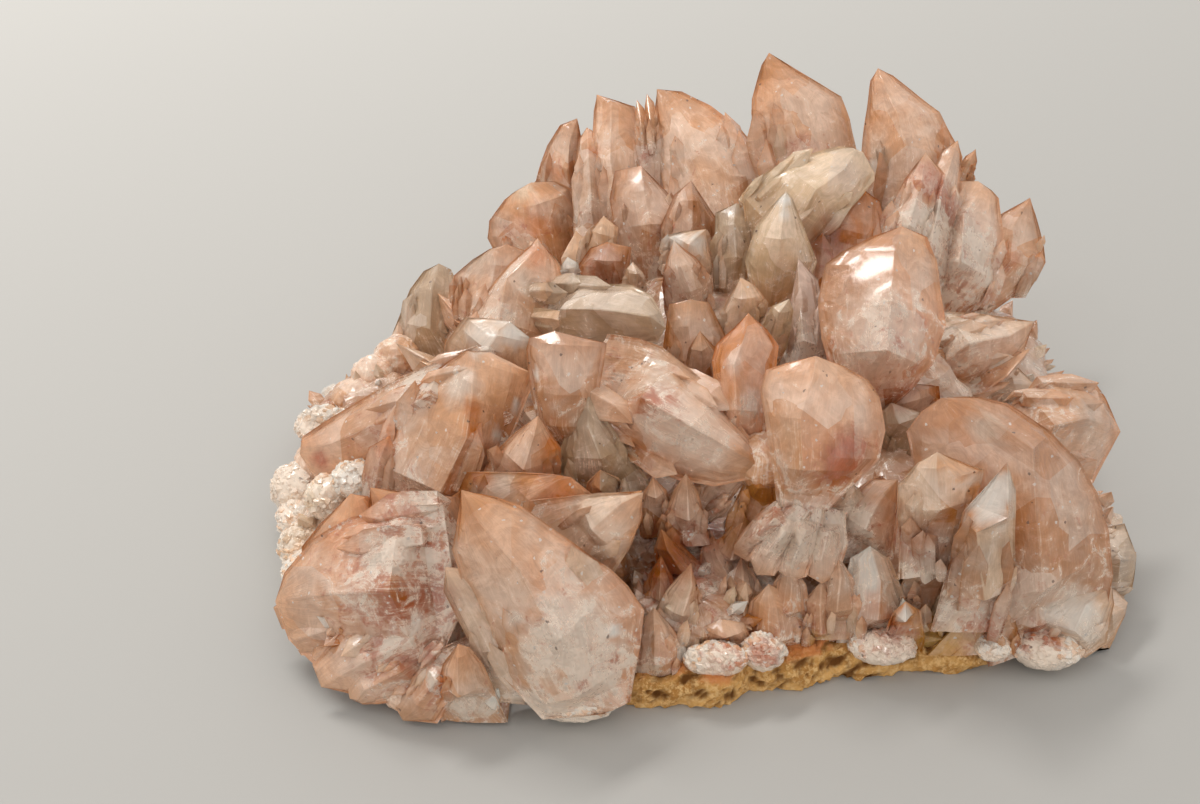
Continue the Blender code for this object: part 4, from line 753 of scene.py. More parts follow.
# The sloping plates and great crystals of the left and middle.
LEFT = [
    ("grey_ovoid", ("grey",), (-36, 24, 19), (-39, 15.5, 7), 0, 5,
     [(-2, 1.5), (-3.5, 4.5), (-4, 9), (-5, 13), (-4, 16), (2, 0.5), (4, 3), (4.5, 7), (4, 11.5),
      (3, 14.5)],
     [(0, 4, 2.5), (1, 9.5, 4)]),
    ("wedge_plate", ("pink",), (-21, 12, 31), (-24.5, 2, 21), 0, 5,
     [(-3, 4.5), (-5.5, 10), (-7, 13.5), (-6.5, 16), (1.5, 1), (3.5, 2.5), (5, 5), (6, 8), (7, 12.5)],
     [(0.5, 1.5, 1.2), (-2.5, 7, 3.5), (-2, 13, 5)]),
    ("wedge_back", ("pink",), (-27, 20, 25), (-28, 13, 14), 0, 4,
     [(-3.5, 2.5), (-6, 5), (-6, 10), (-5, 13), (4.5, -0.5), (5.5, 4.5), (5.5, 12)],
     [(0, 3, 2), (-0.5, 8, 3)]),
    ("long_grey", ("grey",), (-4, -6.5, 30), (-22, 5.5, 24), 0, 4,
     [(-2, 1.5), (-3.5, 3), (-4.5, 6), (-4, 11.5), (-4, 18), (-3, 23), (2.5, 0), (2, 4), (2.5, 10),
      (3, 17), (3, 22)],
     [(-0.5, 1, 2.5), (-0.5, 7, 5), (0, 13.5, 5)]),
    ("shell_left", ("streaked", "pink"), (-52.5, -10, 12), (-29, -15, 24), 0, 5,
     [(1.5, 1), (2.5, 5), (4, 11), (5.5, 18), (6, 26), (6.5, 30), (-2, -0.5), (-6, 3), (-7.5, 11),
      (-5, 21), (-5, 25.5)],
     [(-0.5, 6.5, 2), (0.5, 15.5, 3.5), (2, 24.5, 5)]),
    ("great_left", ("pink", "streaked"), (-28.5, -11.5, 30), (-35.5, -22.5, 13), 0, 8,
     [(-2.5, 3), (-6, 8.5), (-7, 15), (-7, 21.5), (-4.5, 23), (3, -2), (8, -3), (9, 0), (8, 5),
      (6.5, 11.5), (4.5, 17.5), (4, 20)],
     [(1, 1.5, 2), (2.5, 6, 5.5), (3.5, 10.5, 6.5), (2.5, 18, 5)]),
    ("facet_top", ("pale",), (-25, -7.5, 31.5), (-28, -9, 24), 0, 4,
     [(-4.5, 2), (-5.5, 6), (-5, 9.5), (4, -1.5), (3.5, 1), (3, 5)],
     [(0.5, 1.5, 2.2), (0, 3.5, 3)]),
    ("tan_block", ("tan",), (-17, -14, 34), (-18, -21.5, 22), 0, 5,
     [(-4, 0), (-4.5, 2.5), (-3.5, 8), (-2.5, 11.5), (5.5, 1), (5, 5.5), (2.5, 10), (0.5, 13)],
     [(0, 1.5, 2), (0, 7.5, 3.5), (0, 11.5, 2)]),
    ("great_diagonal", ("pink", "streaked"), (7.5, -24.5, 21), (-13, -13, 27), 0, 6,
     [(-2, 2), (-3.5, 5.5), (-5, 9.5), (-6, 12.5), (-7, 18.5), (-6.5, 21.5), (-5, 25.5), (2, 0.5),
      (5, 4), (6.5, 8), (7.5, 13.5), (6.5, 18.5), (3, 22.5)],
     [(0, 4, 4), (0, 9, 7.5), (0, 16, 8)]),
    ("grey_clear", ("grey",), (-14, -18.5, 28), (-12, -24.5, 15), 0, 5,
     [(-2.5, 3), (-4.5, 6.5), (-6, 9.5), (-5.5, 13.5), (1.5, 4.5), (4.5, 9), (6, 12), (6.5, 15.5)],
     [(-0.5, 3.5, 2), (0.5, 7.5, 4)]),
    ("small_pink", ("pink",), (-20, -23, 28), (-22, -24.5, 15), 0, 5,
     [(-2.5, 3), (-4.5, 6), (-6, 10), (-6, 14), (1.5, 2), (3.5, 4), (3.5, 7.5), (4.5, 11.5)],
     [(0, 1.5, 2.5), (-0.5, 5.5, 4)]),
    ("rear_plate", ("amber",), (-16.5, -30.5, 25), (-22, -29, 10), 0, 4,
     [(-5, 3), (-11, 7), (-11, 11), (-7.5, 18), (1.5, -0.5), (4, 1), (7, 7)],
     [(-2.5, 4.5, 2), (-1.5, 8.5, 3)]),
]
cluster("left_crystals", LEFT, seed=650)

# The great front blade, the fan of blades at the left corner and the small crystals at their foot.
FRONT = [
    ("front_blade", ("pink", "streaked"), (-28.5, -35.5, 27), (-16, -49, 2.5), 0, 6,
     [(-0.5, 3), (-3, 4.5), (-4, 6), (-4.5, 9.5), (-4.5, 15.5), (-5, 22.5), (-3, 29), (3.5, 2.5),
      (5.5, 4.5), (7, 8), (8, 10.5), (10.5, 13.5), (12, 16), (13, 18.5), (13.5, 22), (11.5, 25.5), (7.5, 30), (5, 31.5)],
     [(0.5, 4, 2), (2.5, 10.5, 4), (3, 19.5, 5.5), (2, 27, 4)]),
    ("second_leaf", ("pale",), (-30.5, -40, 19), (-22.5, -47, 3), 0, 5,
     [(-1.5, 2.5), (-1.5, 5.5), (-1.5, 10), (-1.5, 14.5), (-1.5, 18), (2, 1), (2.5, 7), (3, 14),
      (2.5, 20.5)],
     [(0.5, 3, 1.2), (0.5, 11, 2)]),
    ("triangle_behind", ("pink",), (-7.5, -31, 23), (-19.5, -29, 10), 0, 4,
     [(-2.5, 5), (-5, 10), (-7.5, 15.5), (-5.5, 19.5), (3, 2.5), (4.5, 6), (6, 10.5), (7.5, 16)],
     [(0.5, 3, 2), (0, 6.5, 4)]),
    ("fan_top_a", ("pink",), (-43, -27, 19), (-38.5, -33, 6), 0, 5,
     [(-2, 1), (-5, 2.5), (-8, 4.5), (-9, 8), (-6.5, 13), (2, 1), (2.5, 5.5), (3.5, 15.5)],
     [(-0.5, 2.5, 2), (-1, 7.5, 3.5)]),
    ("fan_top_b", ("pink",), (-40.5, -27, 20), (-36, -32.5, 8), 0, 5,
     [(-1, 2), (-2, 6.5), (-2.5, 11.5), (4, 2), (5.5, 6.5), (5, 14.5)],
     [(1, 2.5, 1.5), (1.5, 7.5, 3)]),
    ("fan_top_c", ("pink",), (-33.5, -28, 20), (-34, -32.5, 8), 0, 5,
     [(-2.5, 1.5), (-3.5, 6.5), (-2.5, 12.5), (4, 0.5), (4.5, 3.5), (3.5, 11.5)],
     [(0.5, 2.5, 1.5), (0.5, 6.5, 2.5)]),
    ("fan_blade_1", ("streaked",), (-49.5, -31, 9), (-30.5, -29.5, 17), 0, 4,
     [(1.5, 4.5), (2.5, 10.5), (3, 17.5), (-2, -0.5), (-3.5, 5.5), (-2.5, 12.5), (-3, 18.5)],
     [(-0.5, 6, 2), (0, 14.5, 3)]),
    ("fan_blade_2", ("streaked",), (-53, -33.5, 6), (-34, -34, 12), 0, 4,
     [(1, 2), (2.5, 5.5), (3, 12.5), (4, 19), (-3, 0.5), (-3.5, 5.5), (-2.5, 12.5), (-3, 19)],
     [(-0.5, 4.5, 2), (0.5, 13, 3.5)]),
    ("fan_blade_3", ("streaked",), (-50.5, -37.5, 4), (-36.5, -38.5, 9), 0, 3,
     [(2, -1), (3.5, 2), (4, 9), (3, 14), (-2, 1), (-3, 6), (-2.5, 12)],
     [(0.5, 3.5, 2), (1, 9.5, 3)]),
    ("fan_blade_4", ("streaked",), (-47.5, -40, 3), (-34.5, -42, 9), 0, 3,
     [(2, -2), (2.5, 2), (3, 9), (2, 14.5), (-3, 3), (-3, 8.5), (-2.5, 14)],
     [(0, 3.5, 2), (0.5, 10, 3)]),
    ("fan_blade_5", ("streaked",), (-42, -45.5, 1.5), (-32.5, -43.5, 8), 0, 3,
     [(3.5, 0), (4, 2), (3, 7.5), (2, 11.5), (-1.5, 2.5), (-2.5, 5), (-2.5, 10.5)],
     [(1, 3, 2), (0.5, 8.5, 3)]),
    ("fan_blade_6", ("streaked",), (-36, -47.5, 1), (-30, -44.5, 8), 0, 3,
     [(2.5, 1), (3, 4), (3, 9), (-3.5, 2.5), (-3, 6), (-2.5, 10.5)],
     [(0, 3.5, 2), (0, 7.5, 2.5)]),
    ("hollow_floor", ("amber",), (-40.5, -35.5, 7), (-31.5, -36.5, 10), 0, 4,
     [(1.5, 1.5), (2.5, 5.5), (3, 10.5), (-2.5, 0), (-5.5, 3.5), (-6.5, 8)],
     [(-1, 3.5, 1.2), (-1, 7.5, 1.5)]),
    ("small_front_left", ("pink",), (-29, -45.5, 12), (-29, -47.5, 1), 0, 4,
     [(-2, 3), (-3.5, 8.5), (-2.5, 11.5), (1.5, 0.5), (3, 3), (3.5, 5.5), (2, 10.5)],
     [(0, 1, 1.5), (0, 5.5, 3)]),
    ("clear_chip", ("white",), (-24.5, -46, 5), (-29.5, -46.5, 0.5), 0, 2,
     [(-1, 4), (-1.5, 8), (1, 0.5), (2.5, 2), (1.5, 4.5)],
     [(0.5, 2, 1.2)]),
]
cluster("front_crystals", FRONT, seed=850)

# The feathery crystals of the middle and what stands in and round the dark hollow.
MIDDLE = [
    ("little_peak", ("pale", "pink"), (-1.5, -34, 14), (-3.5, -39.5, 4), 0, 4,
     [(-1, 1.5), (-2.5, 4), (-3.5, 7), (-2.5, 11.5), (1.5, 3), (2, 6), (1.5, 8.5), (2, 11.5)],
     [(0.5, 2.5, 1.5), (0, 6, 2.5)]),
    ("mid_peak", ("pink",), (-2, -25.5, 21), (-1.5, -28.5, 11), 0, 4,
     [(-1.5, 2), (-3, 5.5), (-4, 9.5), (1.5, 2.5), (2, 6), (3, 10)],
     [(0, 1.5, 2), (0, 5, 3)]),
    ("cavity_plate", ("pink",), (5.5, -23.5, 20), (0, -25, 13), 0, 3,
     [(-2.5, 3), (-3.5, 5.5), (-2, 8.5), (1, 0.5), (1, 3.5), (1.5, 7)],
     [(-1, 3, 1.5)]),
    ("cavity_lump", ("amber",), (8, -23.5, 20), (5.5, -27, 12), 0, 4,
     [(-2, 2), (-2.5, 5), (-2.5, 9), (1.5, 1), (2.5, 3.5), (3, 7.5)],
     [(-0.5, 2, 2.5)]),
    ("cavity_floor", ("amber",), (0.5, -20.5, 9), (0, -28.5, 4), 0, 4,
     [(-4.5, 1), (-5.5, 6), (-5.5, 9.5), (5, -1), (6, 4), (6, 9)],
     [(0, 3.5, 0.5), (0, 7, 0.5)]),
    ("clear_rhomb", ("pale",), (3.5, -33, 11), (3, -34.5, 5), 0, 2,
     [(-1, 2), (-1.5, 4.5), (-1.5, 6), (2, 2.5), (1.5, 4), (2, 5.5)],
     [(0.5, 1, 2)]),
    ("fan_root_a", ("streaked",), (3.5, -30.5, 13), (10.5, -30, 20), 0, 3,
     [(1, 3), (1.5, 6), (1.5, 8.5), (-2.5, 0), (-3, 4), (-3, 8)],
     [(-0.5, 3.5, 2), (0, 8, 3)]),
    ("fan_root_b", ("streaked",), (6.5, -34, 12), (11.5, -30, 20), 0, 3,
     [(2, 1.5), (2, 5.5), (1.5, 9), (-2, 1), (-2, 5.5), (-2, 10)],
     [(0.5, 3, 2), (0, 7, 3)]),
    ("fan_root_c", ("streaked",), (10.5, -34.5, 11.5), (13, -29.5, 20), 0, 3,
     [(2, 1), (2, 4.5), (1.5, 9.5), (-2, 1), (-2.5, 5.5), (-2, 9.5)],
     [(0.5, 3, 2), (0, 7, 3)]),
    ("fan_root_d", ("streaked",), (14.5, -34.5, 11), (15, -28, 19), 0, 3,
     [(2, 1), (2, 4.5), (1.5, 9.5), (-2, 1), (-3, 5), (-2.5, 9)],
     [(0.5, 3, 2), (0, 6.5, 3)]),
    ("fan_root_e", ("streaked",), (24, -25.5, 20), (18.5, -30.5, 11), 0, 4,
     [(-3, 1.5), (-4.5, 5), (-4, 9.5), (-2, 12.5), (2, 2.5), (3, 5.5), (4.5, 9)],
     [(-1, 3, 2), (-1, 7, 3)]),
    ("pale_front", ("white", "pale"), (20.5, -31, 14), (20.5, -38.5, 3), 0, 5,
     [(-2.5, 1.5), (-3.5, 6.5), (-4, 12), (2.5, 1.5), (3, 5.5), (4.5, 6.5), (5.5, 10.5), (4.5, 12)],
     [(1, 4, 2.5), (0.5, 8.5, 3.5)]),
    ("front_lump_a", ("streaked",), (2, -38.5, 9), (2, -40.5, 2), 0, 4,
     [(-2, 1), (-2.5, 4.5), (-2.5, 7), (3, 0.5), (4, 3), (4, 7)],
     [(0.5, 1.5, 2)]),
    ("front_lump_b", ("streaked",), (8, -34.5, 11), (9, -40, 2), 0, 5,
     [(-2.5, 2), (-3.5, 5.5), (-3.5, 10), (3.5, 2), (5, 6), (4, 10)],
     [(0.5, 2.5, 2.5), (0.5, 6.5, 3)]),
    ("front_lump_c", ("streaked",), (14.5, -34, 11), (15, -38.5, 2), 0, 4,
     [(-2.5, 2.5), (-3, 6), (-2.5, 9.5), (2, 2.5), (2.5, 6.5), (2, 9.5)],
     [(-0.5, 2.5, 2), (-0.5, 6, 2.5)]),
    ("under_blade", ("streaked",), (-6, -37.5, 10), (-6, -43.5, 1.5), 0, 5,
     [(-1.5, 1.5), (-3, 6), (-3.5, 9.5), (-1.5, 11), (2, 2), (4, 5), (4, 10)],
     [(0, 3, 2.5), (0, 6.5, 3)]),
    ("orange_peak", ("orange",), (6, -10, 34), (5.5, -21.5, 22), 0, 4,
     [(-1.5, 2), (-4, 4), (-4.5, 6), (-4, 10), (-2, 14.5), (2.5, 2), (4, 4), (3.5, 6.5), (2, 8.5),
      (2, 12), (2.5, 16)],
     [(-0.5, 2.5, 2), (-2, 7, 4), (-1.5, 12.5, 4)]),
    ("round_top", ("pink", "streaked"), (13.5, -19, 34), (12.5, -30, 19), 0, 6,
     [(-3.5, 1), (-6, 2), (-6.5, 4.5), (-5.5, 9.5), (-4, 14), (-2, 18.5), (3.5, 1), (6.5, 2.5),
      (8, 4.5), (9, 8.5), (8.5, 12), (6, 14.5), (2.5, 18.5)],
     [(-0.5, 2.5, 2), (-2, 7.5, 5), (-1.5, 13.5, 6)]),
    ("great_upper_right", ("tan", "streaked"), (27, 5.5, 37), (24, -12, 22), 0, 7,
     [(-4, 2), (-7.5, 4.5), (-9.5, 6.5), (-10, 11.5), (-9, 16.5), (-6.5, 19), (-3.5, 21), (3.5, 1),
      (5, 4), (4.5, 8), (7, 12.5), (6, 17.5), (3.5, 21.5)],
     [(-1, 4, 2.5), (-1.5, 12, 6), (-1.5, 18.5, 6.5)]),
]
cluster("middle_crystals", MIDDLE, seed=190)

# The great rounded crystals of the right end.
RIGHT = [
    ("pointed_right", ("pale", "streaked"), (47.5, 8, 20), (31.5, 2.5, 19), 0, 5,
     [(-1, 3), (-3, 7.5), (-4.5, 12.5), (3.5, 2.5), (5, 5), (6, 9.5), (6.5, 15)],
     [(1, 5, 2), (0.5, 12.5, 5)]),
    ("little_notch", ("pink",), (37, 4, 23), (34.5, 1.5, 18), 0, 2,
     [(-1.5, 2), (-2, 5.5), (1.5, 2.5), (2, 5)],
     [(0, 3, 1.5)]),
    ("low_pale_right", ("pale",), (48, 4, 12), (43.5, 4.5, 10), 0, 4,
     [(-3, 1.5), (-3.5, 4), (1.5, 1), (1.5, 4.5)],
     [(-1, 2.5, 2)]),
    ("great_right", ("tan",), (29, -23, 31), (40, -38, 3), 0, 8,
     [(-2.5, 0), (-6, 2.5), (-6.5, 8), (-6, 19), (-4.5, 30.5), (4, 1.5), (7, 3.5), (10.5, 8),
      (13, 13), (14, 17.5), (14, 22.5), (13, 28), (10, 34)],
     [(3.5, 3.5, 2), (7, 8.5, 4.5), (4.5, 16.5, 6), (3, 25, 5.5)]),
    # bright_wedge: the pale colour of its right front face is a painted reflection, a white triangle of lamp light.
    ("bright_wedge", ("tan", "pale"), (34.5, -33.5, 29.5), (34, -40, 7), 0, 7,
     [(-2, 3), (-4.5, 6.5), (-4.5, 11), (-4, 16), (-2, 21.5), (1.5, 3.5), (1.5, 8.5), (2.5, 14),
      (2, 18.5), (2, 22.5)],
     [(0, 5.5, 3.5), (-3.5, 7.5, 3.5), (-1.5, 16.5, 3)]),
    ("curved_shells", ("pale", "amber"), (27, -30.5, 28.5), (29, -36, 14), 0, 6,
     [(-2.5, 1), (-5, 3.5), (-5, 7), (-3.5, 12.5), (5.5, 3), (3, 6.5), (2, 11.5), (1.5, 15.5)],
     [(-0.5, 1.5, 1.5), (-0.5, 6.5, 2)]),
    ("round_lump", ("pale", "streaked"), (28, -32, 15), (28.5, -35.5, 5), 0, 5,
     [(-2.5, 0.5), (-3.5, 3), (-3, 6.5), (-2, 10), (2, 1), (3, 4), (2.5, 7.5), (1.5, 10.5)],
     [(-1, 2, 3.5)]),
    ("grey_columns", ("grey",), (29, -34.5, 10), (30, -37, 2), 0, 4,
     [(-1, 2), (-2, 7.5), (2, 0), (4, 3.5), (4.5, 8.5)],
     [(0.5, 2.5, 2)]),
    ("tan_column", ("tan",), (41, -31.5, 12), (41, -38, 2), 0, 5,
     [(-2.5, 2), (-3.5, 6), (-3.5, 11), (2, 2), (3, 6), (3.5, 11)],
     [(-0.5, 3, 2.5), (-0.5, 7.5, 3)]),
    ("cracked_facets", ("pale",), (50.5, -33, 9), (44.5, -38.5, 3), 0, 5,
     [(-3, 1.5), (-4.5, 4), (-4, 9), (-1, 10.5), (1.5, 1.5), (3.5, 6), (2.5, 9)],
     [(-2, 4, 2.5), (-1.5, 7.5, 3)]),
    ("back_right_cap", ("pink",), (56, -10, 15), (42, -15.5, 20), 0, 5,
     [(-4.5, 3), (-6, 4.5), (-6.5, 8), (-6, 12.5), (-3, 18.5), (3.5, 2.5), (7, 4.5), (7, 8.5), (4, 13.5)],
     [(-1.5, 8.5, 3), (-0.5, 16, 5)]),
    ("right_lump_a", ("grey",), (56, -25.5, 6.5), (49.5, -28, 7), 0, 4,
     [(-2, 0), (-5, 1), (-4.5, 3.5), (-3, 6), (3.5, 1.5), (5, 4.5), (3.5, 7)],
     [(-1, 4.5, 3)]),
    ("right_lump_b", ("pale",), (54, -31.5, 4), (48.5, -33.5, 3), 0, 4,
     [(-2, -0.5), (-3, 2.5), (1, 2), (4, 4.5), (3.5, 7)],
     [(-0.5, 3.5, 2.5)]),
    ("yellow_block", ("yellow",), (31, -34.5, 5), (29.5, -38.5, 1.5), 0, 4,
     [(-3.5, 1.5), (-3, 5.5), (1.5, 0.5), (2.5, 3)],
     [(-1, 3, 2)]),
]
cluster("right_crystals", RIGHT, seed=380)

# The cream and mauve crystals of the saddle below the spires.
SADDLE = [
    ("cream_wing", ("cream",), (23.5, 24.5, 38), (11.5, 16, 31), 0, 5,
     [(-2, 2), (-3.5, 5), (-4, 7.5), (-6, 12), (-6, 17), (3.5, 0), (5, 1.5), (5.5, 5), (6, 9.5),
      (2.5, 14)],
     [(1, 4.5, 2.5), (0.5, 10, 4)]),
    ("cream_block", ("cream",), (12.5, 13.5, 37.5), (12.5, 8, 26), 0, 5,
     [(-2, 2), (-4, 4.5), (-5.5, 9.5), (-4, 12.5), (1, 1), (2, 4), (4.5, 9.5), (3.5, 12.5)],
     [(-0.5, 2, 2), (-1, 6, 4)]),
    ("mauve_column", ("mauve",), (14, 7, 31), (14.5, -5.5, 21), 0, 4,
     [(-1, 4), (-2, 9), (-2.5, 13.5), (2.5, 3), (3, 7.5), (2.5, 11.5), (3, 14.5)],
     [(-0.5, 5, 2.5), (-0.5, 12.5, 4)]),
    ("cream_glint", ("cream",), (12, -2.5, 31), (10.5, -4, 24), 0, 3,
     [(-2, 1.5), (-2.5, 4.5), (-1.5, 7), (1, 1.5), (1.5, 6.5)],
     [(-1, 1.5, 2)]),
    ("pale_mid", ("pale",), (6, 2.5, 31), (6, -1.5, 22), 0, 4,
     [(-1.5, 2.5), (-3, 5.5), (-2.5, 9), (2, 1), (3.5, 3), (3, 9)],
     [(0, 2.5, 2.5)]),
    ("grey_spotted", ("grey",), (6.5, 19.5, 32), (6, 11.5, 23), 0, 4,
     [(-3, 1.5), (-3, 6.5), (-2, 11.5), (2.5, 1), (3, 6.5), (2.5, 11.5)],
     [(-0.5, 3.5, 2.5), (0, 8, 3)]),
    ("bright_mid", ("pale",), (2, 13.5, 31.5), (-1, 11, 24), 0, 4,
     [(-3, 1.5), (-5, 3), (-3.5, 7.5), (0, 2.5), (3, 5)],
     [(-1.5, 2.5, 1.8)]),
    ("mid_small", ("pink",), (-2.5, 11.5, 31), (-0, 6.5, 22), 0, 4,
     [(-1.5, 2), (-3, 5.5), (-3.5, 9), (2.5, 3), (4, 6), (3, 10)],
     [(0, 3.5, 2.5), (0.5, 7, 3)]),
    ("amber_mid", ("deep",), (-11.5, 16.5, 27.5), (-12, 12, 20), 0, 4,
     [(-2.5, 1), (-4, 3.5), (-3.5, 8.5), (3.5, 0.5), (3, 3.5), (2.5, 8)],
     [(0, 2.5, 3)]),
    ("white_bit", ("white",), (-17, 13.5, 27), (-16.5, 11.5, 23), 0, 2,
     [(-1, 1), (-1.5, 4), (1.5, 1), (1.5, 4)],
     [(0, 1.5, 1.2)]),
    ("pale_lump", ("pale",), (-8, 11.5, 27.5), (-8, 9, 23), 0, 3,
     [(-1, 1), (-1.5, 4.5), (1.5, 1.5), (2, 4.5)],
     [(0.5, 1.5, 2)]),
    ("brown_gap", ("brown",), (-0.5, 1, 28.5), (-0, -6, 18), 0, 4,
     [(-3, 0.5), (-4, 6), (-3, 11), (2.5, 0.5), (4.5, 5), (3.5, 12)],
     [(-0.5, 3.5, 2), (0, 8, 3)]),
    ("clear_small", ("pale",), (-12, 21, 29), (-14, 17.5, 23), 0, 2.5,
     [(-1.5, 2.5), (-2, 5.5), (-1.5, 7.5), (2.5, 1), (3.5, 5.5)],
     [(0.5, 2.5, 1.5)]),
    # gap_floor: its deep tint is painted shade, at the floor of a gap between the crystals.
    ("gap_floor", ("deep",), (24, 22, 33), (21, 9, 23), 0, 4,
     [(-3, 3.5), (-7, 7), (-6, 12), (-4, 17), (3, 1.5), (5, 7), (3, 15.5)],
     [(-1.5, 7, 1)]),
    ("fan_top_right", ("streaked",), (33, 25, 37), (29, 13.5, 26), 0, 5,
     [(-2, 4.5), (-3.5, 10.5), (-3, 16), (3.5, 2.5), (3.5, 9), (3.5, 14.5)],
     [(0, 5.5, 2.5), (-0.5, 12, 4)]),
    ("shadow_right", ("deep",), (27, -8.5, 22), (28.5, -10.5, 14), 0, 4,
     [(-3.5, 0), (-4, 6), (4.5, 1.5), (4.5, 8)],
     [(-0.5, 2.5, 1)]),
    ("grey_right_gap", ("grey",), (25, -11.5, 21), (26.5, -14.5, 12), 0, 3,
     [(-1.5, 1), (-1.5, 5), (-1, 8.5), (4, 2), (3, 5.5), (2, 9)],
     [(0.5, 2.5, 1.5)]),
]
cluster("saddle_crystals", SADDLE, seed=600)

# Crystals that fill the spaces between the great ones: the body of the fan, the hollow and the band behind the crust.
FILLING = [
    ("fan_body_a", ("streaked",), (-52.5, -34, 7.5), (-31.5, -38, 15), 0, 5,
     [(3.5, 2), (7, 6.5), (9, 12), (9.5, 19), (9, 24.5), (-5, 1), (-9, 4.5), (-12, 11), (-12.5, 19)],
     [(0.5, 10, 4), (0, 19, 6)]),
    ("fan_body_b", ("streaked",), (-46, -44, 3), (-30.5, -39, 11), 0, 4,
     [(3, 0.5), (4.5, 5.5), (4, 13.5), (-4, 4), (-7.5, 9), (-8, 15.5)],
     [(0, 7, 3), (-0.5, 13, 4)]),
    ("fan_shade", ("amber",), (-37, -36.5, 12), (-30, -33.5, 14), 0, 4,
     [(0, -3), (-3.5, -4), (-7, -3), (-10, 1), (1.5, 2.5), (2, 6.5)],
     [(-3, 0.5, 1)]),
    ("band_a", ("pink",), (5, -29.5, 11), (5, -37, 4), 0, 4,
     [(-1.5, 3), (-2.5, 6.5), (-2, 10.5), (2, 3), (2.5, 7), (2, 10.5)],
     [(0, 3.5, 2.5), (0, 7.5, 3)]),
    ("band_b", ("streaked",), (10.5, -32.5, 13), (11, -38, 5), 0, 4,
     [(-2, 2.5), (-3, 6), (-2.5, 9.5), (2, 3), (2.5, 6.5), (2.5, 10)],
     [(0, 2.5, 2.5), (-0.5, 6, 3)]),
    ("band_c", ("pink",), (16.5, -32, 13.5), (16.5, -38, 5), 0, 4,
     [(-1.5, 2.5), (-2, 6), (-2, 10.5), (2, 3), (3, 6), (3, 10.5)],
     [(0, 2.5, 2.5), (-0.5, 6.5, 3)]),
    ("band_d", ("pale", "pink"), (-0, -34.5, 9), (-0, -39.5, 4), 0, 4,
     [(-1.5, 2), (-2, 5), (-2, 7), (1.5, 2), (2, 5), (2, 7)],
     [(0, 2.5, 2), (0, 5, 2.5)]),
    ("band_e", ("amber", "pink"), (-5, -31, 12.5), (-5.5, -35.5, 5), 0, 4,
     [(-1.5, 2.5), (-2, 6), (-2, 9), (1.5, 2.5), (2.5, 5.5), (2.5, 8.5)],
     [(0, 2.5, 2.5), (0, 5, 3)]),
    ("cavity_a", ("amber", "pink"), (1.5, -27, 12), (4.5, -30, 5), 0, 4,
     [(-2, 1), (-3.5, 4), (-3.5, 7), (1.5, 2.5), (2.5, 5.5), (2.5, 9)],
     [(-0.5, 2, 2), (0, 5, 3)]),
    ("cavity_b", ("pink", "amber"), (-5, -29, 15), (-1, -30, 6), 0, 4,
     [(-2, 2), (-3, 5.5), (-3, 9.5), (1, 2), (2.5, 7), (3, 12)],
     [(-0.5, 2, 2), (0, 5.5, 3)]),
    ("cavity_c", ("amber",), (5.5, -26.5, 15), (3.5, -29, 6), 0, 4,
     [(-1.5, 2), (-3, 5.5), (-2.5, 10), (2, 2), (2.5, 5.5), (2.5, 9)],
     [(-0.5, 2, 2), (-0.5, 5, 3)]),
    ("tooth_a", ("brown", "amber"), (33.5, -36, 10), (33.5, -39, 3), 0, 4,
     [(-1.5, 2), (-2, 5.5), (-1.5, 7.5), (1.5, 2), (2, 5.5), (2, 7.5)],
     [(-0.5, 1.5, 2)]),
    ("tooth_b", ("amber",), (37, -36, 9), (37, -39, 3), 0, 4,
     [(-1, 1.5), (-1.5, 4.5), (-1, 6.5), (1, 1.5), (2, 4.5), (1.5, 6.5)],
     [(-0.5, 1.5, 2)]),
    ("needle_a", ("pale",), (-40, -37.5, 10.5), (-33.5, -34.5, 13), 0, 1,
     [(-0.5, 0.5), (-1, 7), (0.5, 1), (1, 7)],
     [(0, 3, 0.6)]),
    ("needle_b", ("pale",), (-38.5, -38.5, 10), (-33, -35.5, 12.5), 0, 1,
     [(-0.5, 1), (-1, 6.5), (0.5, 1), (0.5, 7)],
     [(0, 3, 0.6)]),
    ("gap_left", ("pink", "grey"), (-12.5, -26, 22), (-11, -24, 12), 0, 4,
     [(-2, 2), (-3.5, 6), (-3.5, 9), (2, 2.5), (3, 7), (2, 11)],
     [(-0.5, 1.5, 2)]),
    ("gap_mid", ("pink",), (-6, -25, 20), (-5, -27, 12), 0, 4,
     [(-1.5, 2), (-2.5, 5), (-2.5, 8), (1.5, 2), (2.5, 5.5), (2, 8.5)],
     [(0, 2, 2)]),
    ("gap_right", ("pink", "pale"), (17.5, -26.5, 21), (18.5, -29, 13), 0, 4,
     [(-2, 1.5), (-3, 4.5), (-3, 8), (1.5, 1.5), (3, 5), (2.5, 8.5)],
     [(-0.5, 1.5, 2)]),
    ("gap_upper", ("pink", "brown"), (0.5, -4, 27), (2.5, -7, 18), 0, 4,
     [(-2, 2), (-3.5, 6), (-3, 9), (1.5, 2.5), (3, 6.5), (2.5, 10.5)],
     [(-0.5, 2, 2.5)]),
    ("gap_saddle", ("amber", "pink"), (19, 6, 31), (18, 3, 22), 0, 4,
     [(-2, 2.5), (-2.5, 6), (-2, 9.5), (2.5, 2), (3.5, 5), (3, 9)],
     [(0, 2.5, 2)]),
    ("triangle_front", ("pale", "pink"), (-7.5, -36, 27), (-19, -34.5, 15), 0, 3,
     [(-3, 5), (-5, 9.5), (-7.5, 14.5), (-5.5, 18), (2.5, 2.5), (4.5, 6), (6, 10), (7, 14.5)],
     [(-0.5, 2.5, 1.2), (0, 7.5, 2)]),
    ("lump_right", ("pink", "amber"), (24, -38.5, 12), (25, -38.5, 3), 0, 4,
     [(-1.5, 1.5), (-2, 6), (-1.5, 9), (2, 2), (2.5, 7), (2, 9.5)],
     [(-0.5, 1.5, 2)]),
]
cluster("filling_crystals", FILLING, seed=777, sides=4)


